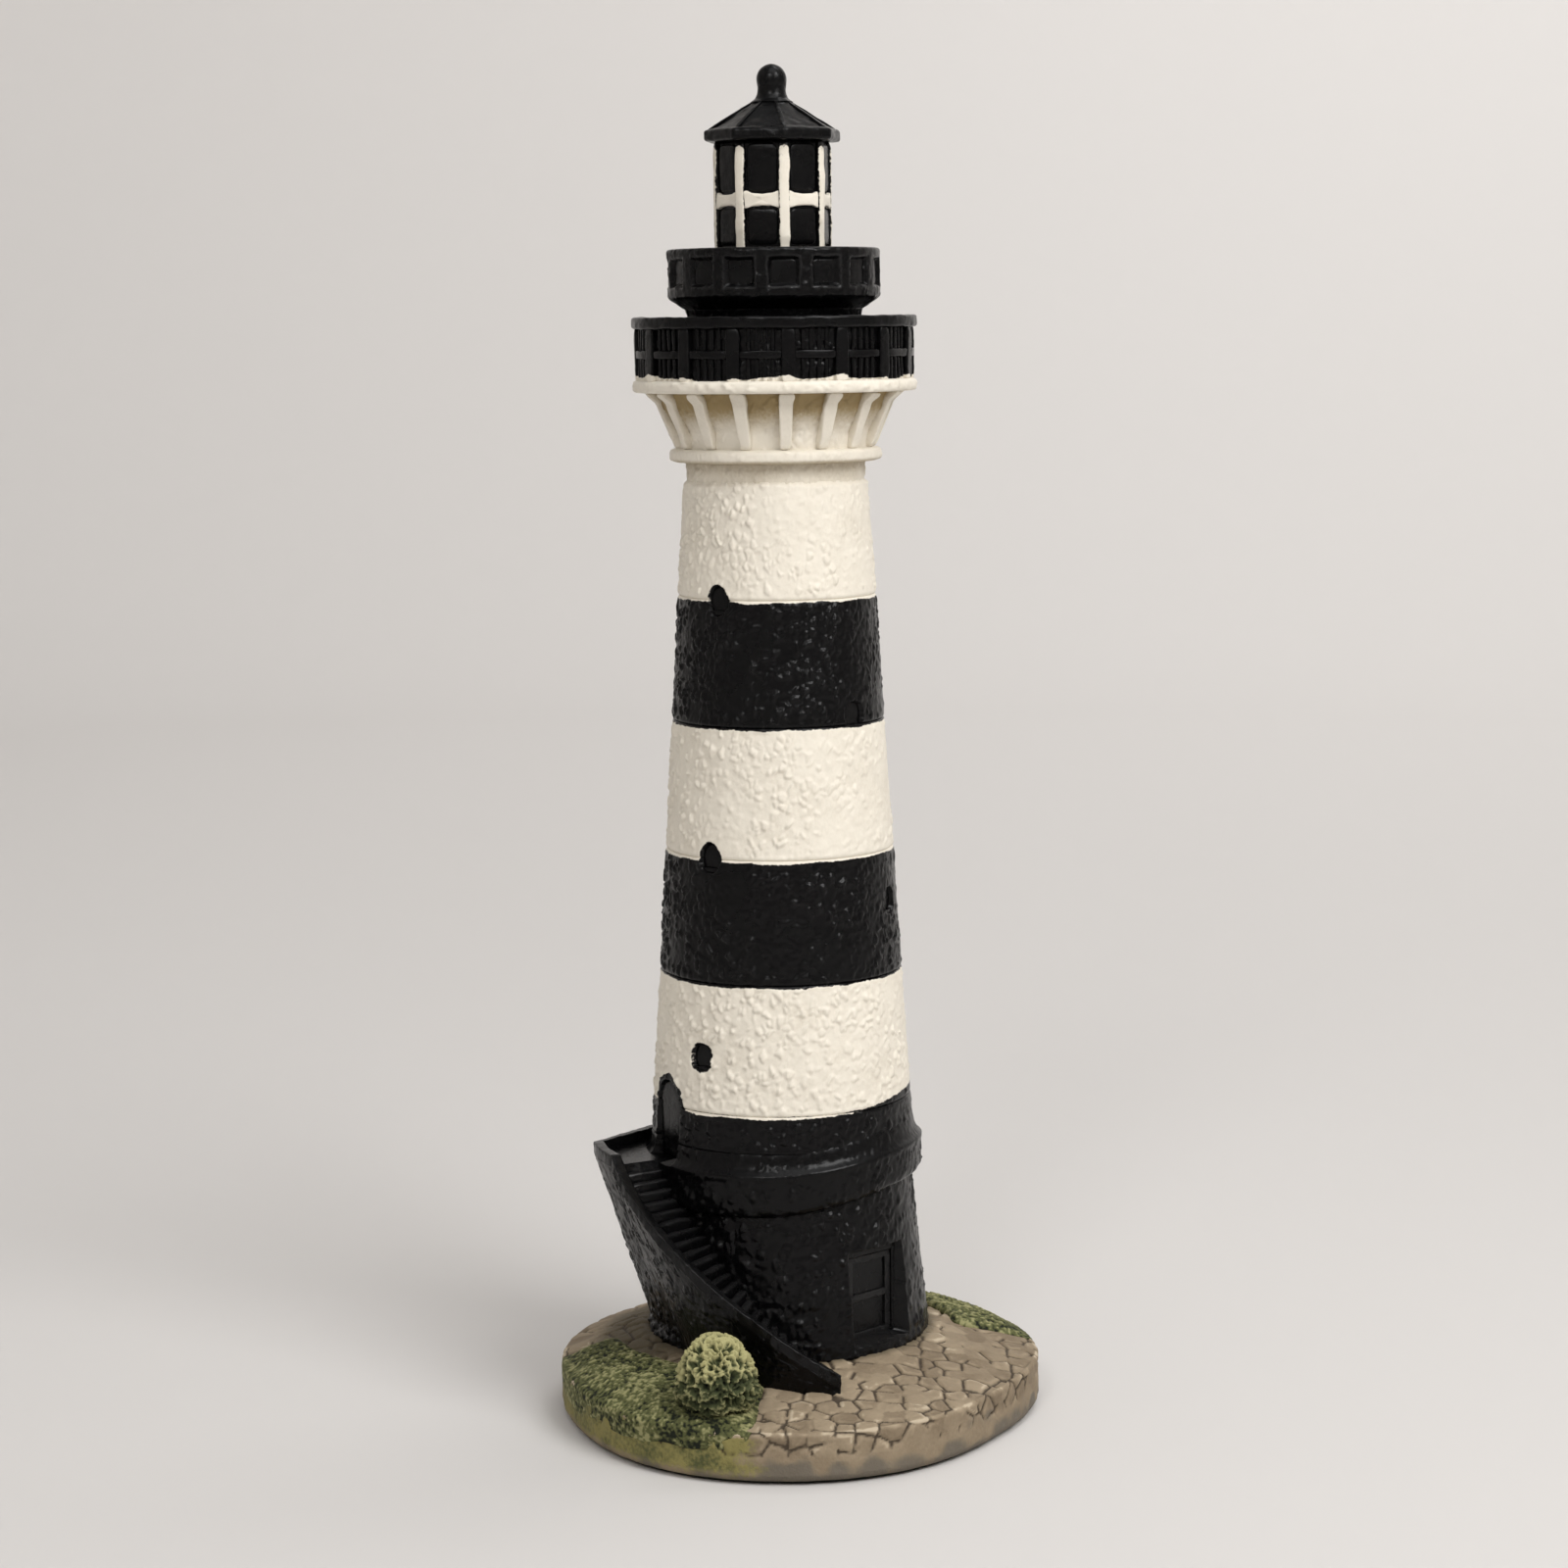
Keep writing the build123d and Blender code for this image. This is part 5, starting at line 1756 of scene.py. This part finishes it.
@dataclass
class Lantern:
    """Watch room, panelled lantern gallery, and the glazed lantern with its white bars."""

    shop: Workshop
    columns: int = 450
    parapet_slope: float = 2.2
    parapet_thickness: float = 1.7
    parapet_height: float = 1.5
    panel_count: int = 15
    panel_turn: float = 5.5
    panel_width: float = 5.4
    panel_height: float = 5.0
    panel_recess: float = 0.9
    panel_border: float = 0.5
    panel_hand: Hand = Hand(0.16, 1.5, 28)
    sides: int = 8
    core_columns: int = 400
    corner_turn: float = 11.3
    corner_radius: float = 9.4
    corner_blunting: float = 0.992
    core_hand: Hand = Hand(0.06, 2.0, 29)
    mullion_width: float = 1.9
    mullion_relief: float = 0.65
    mullion_hand: Hand = Hand(0.22, 2.4, 30)
    transom_swell: float = 0.45
    transom_hand: Hand = Hand(0.2, 2.2, 33)
    pane_thickness: float = 0.35
    pane_hand: Hand = Hand(0.06, 2.0, 34)

    def watch_room(self) -> None:
        """Watch room: a short turned wall, hollowed a little between the deck and the gallery above."""
        bottom, top = low("watch_room"), low("lantern_gallery")
        wall = reach("watch_room")
        line = [(wall, bottom), (wall - 0.25, bottom + 0.8), (wall - 0.35, top - 1.0), (wall, top + 0.3)]
        radius, angle, level = lathe(line, 0.25, self.columns, 4)
        rough = PLASTER.height(polar(radius, angle, level), 0.8)
        points = polar(radius + rough - 0.1, angle, level)[None]
        self.shop.black("watch_room_wall", points, "watch_room", crests(rough))

    def parapet(self) -> None:
        """Lantern gallery: a turned parapet with a sloping foot, square hollows and a deck inside."""
        node = "lantern_gallery"
        bottom, wide, deck = low(node), reach(node), low("lantern_core")
        top, start = deck + self.parapet_height, bottom + self.parapet_slope
        inner = wide - self.parapet_thickness
        line = [
            (reach("watch_room") - 0.3, bottom), (wide - 0.3, start - 0.3), (wide, start + 0.1),
            (wide, top - 0.3), (wide - 0.3, top), (inner + 0.3, top), (inner, top - 0.3), (inner, deck + 0.1),
            (self.corner_radius - 1.0, deck + 0.1),
        ]
        radius, angle, level = lathe(line, 0.23, self.columns, 2, 0.7)
        smooth = polar(radius, angle, level)
        tall, middle = self.panel_height, middle_level("gallery_panels")
        beside = np.radians(turn_from(angle - FRONT, self.panel_turn, 360 / self.panel_count))
        gap = box_gap(wide * beside, level - middle + tall / 2, self.panel_width, tall)
        gap = gap + 0.35 * grain(smooth, 2.4, 55)
        outside = ramp(radius, wide - 0.8, wide - 0.2)
        hollow = self.panel_recess * (1 - ramp(gap, -0.7, 0.1)) * outside
        points = polar(radius - hollow + 0.55 * PLASTER.height(smooth) - 0.08, angle, level)
        # Painted highlight: lighter black along the parapet's top and round the edges of its hollows.
        raised = 0.5 * ramp(level, top - 0.8, top) + 0.8 * hump(gap - 0.1, 0.35) * outside
        self.shop.black("lantern_parapet", points[None], node, raised)
        floor, border = wide - self.panel_recess, self.panel_border
        panels = wall_blocks(
            unit_block(24, 36, 0.3), spokes(self.panel_turn, self.panel_count), self.panel_width - 2 * border,
            middle - tall / 2 + border, middle + tall / 2 - border, floor - 0.4, floor + 0.12,
        )
        self.shop.black("parapet_panels", self.panel_hand.on(panels), "gallery_panels", 0.35)

    def facet(self, angle: Array) -> Array:
        """Radius of an eight-sided outline as a share of its corners' radius."""
        pitch = 360 / self.sides
        beside = (angle - FRONT - self.corner_turn + pitch) % pitch - pitch / 2
        return np.minimum(math.cos(math.pi / self.sides) / np.cos(np.radians(beside)), self.corner_blunting)

    def mullions(self) -> None:
        """White bars over the corners: white on their faces only, down from a ragged tip."""
        bottom, top = low("lantern_core"), low("roof_eave")
        unit = unit_block(60, 28, 0.35)
        corner, back = spokes(self.corner_turn, self.sides), self.corner_radius - 1.4
        face = self.corner_radius + self.mullion_relief - 0.1
        bars = wall_blocks(unit, corner, self.mullion_width, bottom, top + 0.1, back, face)
        bars = self.mullion_hand.on(bars)
        wash_and_shade = 0.08 + 0.4 * ramp(soft_noise(bars, 1.6, 56), 0.3, 0.8)
        face_coat = np.hypot(bars[..., 0], bars[..., 1]) - face + 0.24 + 0.08 * grain(bars, 2.0, 57)
        tip_coat = top - 0.8 - 0.7 * unit[..., 0] ** 2 - bars[..., 2]
        side_coat = (0.88 - np.abs(unit[..., 0])) * self.mullion_width / 2
        coat = np.minimum(np.minimum(face_coat, tip_coat), side_coat)
        self.shop.make("lantern_bars", painted(bars, coat, wash_and_shade), Slot.WHITE, "lantern_mullions")

    def on_sides(self, outline: Array, back: float, face: float, level: float, pillow: float) -> Array:
        """One plate on each side of the lantern.

        Args:
            outline: points round it, (columns, 2).
            back: distance of its back from the flat side.
            face: distance of its face from the flat side.
            level: height of the outline's zero.
            pillow: how far the middle of the face stands proud.

        Returns:
            Places, (sides, rows, columns, 3).
        """
        flat = self.corner_radius * math.cos(math.pi / self.sides)
        turns = spokes(self.corner_turn, self.sides) + 180 / self.sides
        plates = [plate(outline, flat + back, flat + face, turn, level, pillow) for turn in turns]
        return np.concatenate(plates)

    def glazing(self) -> None:
        """Eight-sided core with two rows of round-cornered panes, and white bars brushed over its edges."""
        bottom, top = low("lantern_core"), low("roof_eave")
        radius, angle, level = lathe([(1.0, bottom), (1.0, top)], 0.6, self.core_columns, 0)
        points = polar(self.corner_radius * radius * self.facet(angle), angle, level)
        self.shop.black("lantern_block", self.core_hand.on(points)[None], "lantern_core")
        self.mullions()
        node = "lantern_transom"
        run = 2 * self.corner_radius * math.sin(math.pi / self.sides) + 0.3
        outline = rectangle_line(run, high(node) - low(node), 0.14, 72)
        outline[:, 1] *= 1 + self.transom_swell * ramp(np.abs(outline[:, 0]), run / 2 - 2.4, run / 2 - 0.8)
        rails = self.transom_hand.on(self.on_sides(outline, -0.4, 0.5, middle_level(node), 0.1))
        self.shop.white("lantern_rail", rails, node, 0.15)
        for row in ("low", "high"):
            node = f"lantern_panes_{row}"
            outline = rectangle_line(run - self.mullion_width - 0.5, high(node) - low(node), 0.16, 72)
            panes = self.on_sides(outline, -0.3, self.pane_thickness, middle_level(node), 0.08)
            self.shop.black(f"lantern_glass_{row}", self.pane_hand.on(panes), node)

    def build(self) -> None:
        """Builds the watch room, the parapet and the glazing."""
        self.watch_room()
        self.parapet()
        self.glazing()


@dataclass
class Roof:
    """Eight-sided roof on its eave, with ribs on its ridges, and the finial."""

    shop: Workshop
    lantern: Lantern
    eave_radius: float = 11.7
    roof_radius: float = 11.0
    tip_radius: float = 2.9
    slope_hand: Hand = Hand(0.14, 2.2, 35)
    rib_width: float = 0.8
    rib_relief: float = 0.35
    rib_taper: float = 0.35
    rib_hand: Hand = Hand(0.1, 1.5, 37)
    stem_hand: Hand = Hand(0.06, 1.2, 38)
    ball_shrink: float = 0.04
    ball_drop: float = 0.06
    ball_hand: Hand = Hand(0.10, 1.6, 39)

    def faceted(self, line: Line, step: float) -> Array:
        """Turned line pressed into eight sides, round at the tip, with a fine unevenness.

        Args:
            line: corner radius and height from below.
            step: spacing of its rows.

        Returns:
            Places, (1, rows, columns, 3).
        """
        radius, angle, level = lathe(line, step, self.lantern.core_columns)
        share = ramp(radius, self.tip_radius - 0.5, self.roof_radius - 3)
        places = polar(radius * (1 + share * (self.lantern.facet(angle) - 1)), angle, level)
        return self.slope_hand.on(places)[None]

    def slopes(self) -> None:
        """Eave moulding, and the eight slopes above it."""
        eave, bottom, tip = low("roof_eave"), low("roof"), low("finial_neck")
        wide = self.eave_radius
        line = [
            (wide - 1.2, eave), (wide - 0.25, eave + 0.1), (wide, eave + 0.4), (wide - 0.05, bottom - 0.25),
            (wide - 0.3, bottom), (wide - 1.2, bottom + 0.3),
        ]
        self.shop.black("eave_moulding", self.faceted(line, 0.15), "roof_eave", 0.15)
        narrow = self.tip_radius
        line = [(self.roof_radius - 0.1, bottom - 0.1), (narrow + 1.0, tip - 0.9), (narrow, tip)]
        self.shop.black("roof_slopes", self.faceted(line, 0.2), "roof")

    def ribs(self) -> None:
        """Ribs: thin rounded bars that lie along the ridges and narrow towards the tip."""
        bottom, tip = low("roof"), low("finial_neck")
        unit = unit_block(50, 24, 0.5)[None]
        rise = (unit[..., 2] + 1) / 2
        ridge = self.roof_radius - 0.35 + rise * (self.tip_radius + 0.2 - self.roof_radius)
        radius = ridge + unit[..., 1] * self.rib_relief
        turn = spokes(self.lantern.corner_turn, self.lantern.sides)[:, None, None]
        width = self.rib_width * (1 - self.rib_taper * rise)
        level = bottom + 0.1 + rise * (tip - bottom - 0.2)
        ribs = polar(radius, turn + np.degrees(unit[..., 0] * width / 2 / ridge), level)
        self.shop.black("roof_ridges", self.rib_hand.on(ribs), "roof_ribs", 0.45)

    def finial(self) -> None:
        """Flared neck, and a ball set into it that is a little uneven."""
        tip, ball, top = low("finial_neck"), low("finial_ball"), high("finial_ball")
        flare = [(3.6, tip - 0.4), (2.75, tip + 0.2), (2.45, tip + 0.9)]
        radius, angle, level = lathe([*flare, (2.35, ball - 0.5), (2.42, ball + 0.3)], 0.12, 160, 3)
        stem = self.stem_hand.on(polar(radius, angle, level))
        self.shop.black("finial_stem", stem[None], "finial_neck", 0.3)
        wide = reach("finial_ball") - self.ball_shrink
        points = unit_block(70, 140, 1.0) * wide + (0, 0, top - wide - self.ball_drop)
        self.shop.black("finial_knob", self.ball_hand.on(points)[None], "finial_ball", 0.2)

    def build(self) -> None:
        """Builds the eave and the slopes, the ribs on them, and the finial."""
        self.slopes()
        self.ribs()
        self.finial()


# Set and camera

@dataclass(frozen=True)
class Lamp:
    """Round soft lamp that looks at a point, its light kept within a spread in degrees."""

    name: str
    place: Place
    size: float
    watts: float
    aim: Place = (0.0, 0.0, 0.15)
    spread: float = 180.0

    def hang(self) -> None:
        """Adds the lamp to the scene, hidden from the camera."""
        light = bpy.data.lights.new(self.name, "AREA")
        light.shape = "DISK"
        light.size = self.size
        light.energy = self.watts
        light.spread = math.radians(self.spread)
        lamp = bpy.data.objects.new(self.name, light)
        lamp.visible_camera = False
        turn = (Vector(self.aim) - Vector(self.place)).to_track_quat("-Z", "Y").to_matrix().to_4x4()
        lamp.matrix_world = Matrix.Translation(self.place) @ turn
        bpy.context.scene.collection.objects.link(lamp)


@dataclass
class Studio:
    """Pale seamless bowl, soft lamps and the camera, with lengths in metres."""

    floor_colour: Colour = (0.655, 0.636, 0.618)
    # Wall paper, darker at the left and lighter at the right: painted shade and light.
    wall_shade_to_light: tuple[Colour, Colour] = ((0.80, 0.778, 0.758), (0.92, 0.898, 0.878))
    bowl_radius: float = 1.6
    cove_radius: float = 0.5
    bowl_height: float = 2.6
    floor_rows: int = 20
    cove_rows: int = 24
    bowl_columns: int = 128
    lamps: tuple[Lamp, ...] = (
        Lamp("key_lamp", (0.46, -0.50, 0.68), 0.5, 4.9),
        Lamp("front_lamp", (-0.25, -0.90, 0.75), 0.3, 2.2),
        Lamp("top_lamp", (0.15, -0.45, 1.45), 1.1, 4.4),
        Lamp("backdrop_lamp", (0.55, 0.6, 1.7), 0.8, 7.2, (0.38, 1.6, 0.0), 120.0),
    )
    air_colour: Colour = (1.0, 0.99, 0.98)
    air_strength: float = 0.35
    camera_distance: float = 0.600
    camera_height: float = 0.18549
    camera_pitch: float = 7.4443
    camera_roll: float = -0.62
    sensor_width: float = 36.0
    focal_pixels: float = 3620.0
    frame_pixels: float = 1600.0
    shift_pixels: float = 5.03

    def bowl(self) -> None:
        """Floor that curves up into a round wall: a floor, a quarter circle and a wall, turned about Z."""
        turn = np.radians(np.linspace(-90, 0, self.cove_rows))
        flat, cove = self.bowl_radius - self.cove_radius, self.cove_radius
        floor = np.linspace(0.02, flat, self.floor_rows)
        radius = np.concatenate([floor, flat + cove * np.cos(turn), [self.bowl_radius]])
        level = np.concatenate([0 * floor, cove * (1 + np.sin(turn)), [self.bowl_height]])
        points = polar(radius[:, None], ring_angles(self.bowl_columns), level[:, None])
        index = np.arange(points.shape[0] * points.shape[1]).reshape(points.shape[:2])
        ahead = np.roll(index, -1, axis=1)
        quads = np.stack([index[:-1], index[1:], ahead[1:], ahead[:-1]], axis=-1).reshape(-1, 4)
        mesh = bpy.data.meshes.new("studio_bowl")
        mesh.from_pydata(points.reshape(-1, 3).tolist(), [], quads.tolist() + [index[0].tolist()])
        mesh.polygons.foreach_set("use_smooth", np.ones(len(mesh.polygons), dtype=bool))
        bowl = bpy.data.objects.new("studio_bowl", mesh)
        bpy.context.scene.collection.objects.link(bowl)
        marks = {"rise": ramp(points[..., 2], 0.0, 0.8), "side": ramp(points[..., 0], -0.5, 0.5)}
        for name, values in marks.items():
            mesh.attributes.new(name, "FLOAT", "POINT").data.foreach_set("value", values.ravel())
        board = Board("studio_paper")
        # Painted shade and light on the wall: darker at the left, lighter at the right.
        wall = board.mix(board.mark("side"), *self.wall_shade_to_light)
        colour = board.mix(board.mark("rise"), self.floor_colour, wall)
        bowl.data.materials.append(board.finish(colour, 0.9, board.noise(2.0), 0.0, 0.0))

    def light(self) -> None:
        """Hangs the key at the right, a front, a top and a backdrop lamp, in a low even world."""
        for lamp in self.lamps:
            lamp.hang()
        world = bpy.data.worlds.new("studio_air")
        world.use_nodes = True
        inputs = world.node_tree.nodes["Background"].inputs
        inputs["Color"].default_value = (*self.air_colour, 1.0)
        inputs["Strength"].default_value = self.air_strength
        bpy.context.scene.world = world
        bpy.context.scene.view_settings.view_transform = "Standard"

    def camera(self) -> None:
        """Camera before the tower, tipped down a little and rolled as the photograph is."""
        data = bpy.data.cameras.new("front_camera")
        data.sensor_width = self.sensor_width
        data.lens = self.focal_pixels / self.frame_pixels * self.sensor_width
        data.shift_x = self.shift_pixels / self.frame_pixels
        data.clip_start = 0.01
        camera = bpy.data.objects.new("front_camera", data)
        place = Matrix.Translation((0, -self.camera_distance, self.camera_height))
        tip = Matrix.Rotation(math.radians(90 - self.camera_pitch), 4, "X")
        roll = Matrix.Rotation(math.radians(self.camera_roll), 4, "Z")
        camera.matrix_world = place @ tip @ roll
        bpy.context.scene.collection.objects.link(camera)
        bpy.context.scene.camera = camera

    def build(self) -> None:
        """Builds the set."""
        self.bowl()
        self.light()
        self.camera()


def main() -> None:
    """Builds the set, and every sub-assembly in order from the ground up."""
    logging.basicConfig(level=logging.INFO, format="%(name)s: %(message)s")
    Studio().build()
    shop = Workshop()
    shop.prepare()
    shaft = Shaft(shop)
    lantern = Lantern(shop)
    for assembly in (
        Ground(shop), LowerStorey(shop, shaft), Stair(shop), shaft, Corbel(shop), MainGallery(shop), lantern,
        Roof(shop, lantern),
    ):
        LOG.info("building %s", type(assembly).__name__)
        assembly.build()


if __name__ == "__main__":
    main()
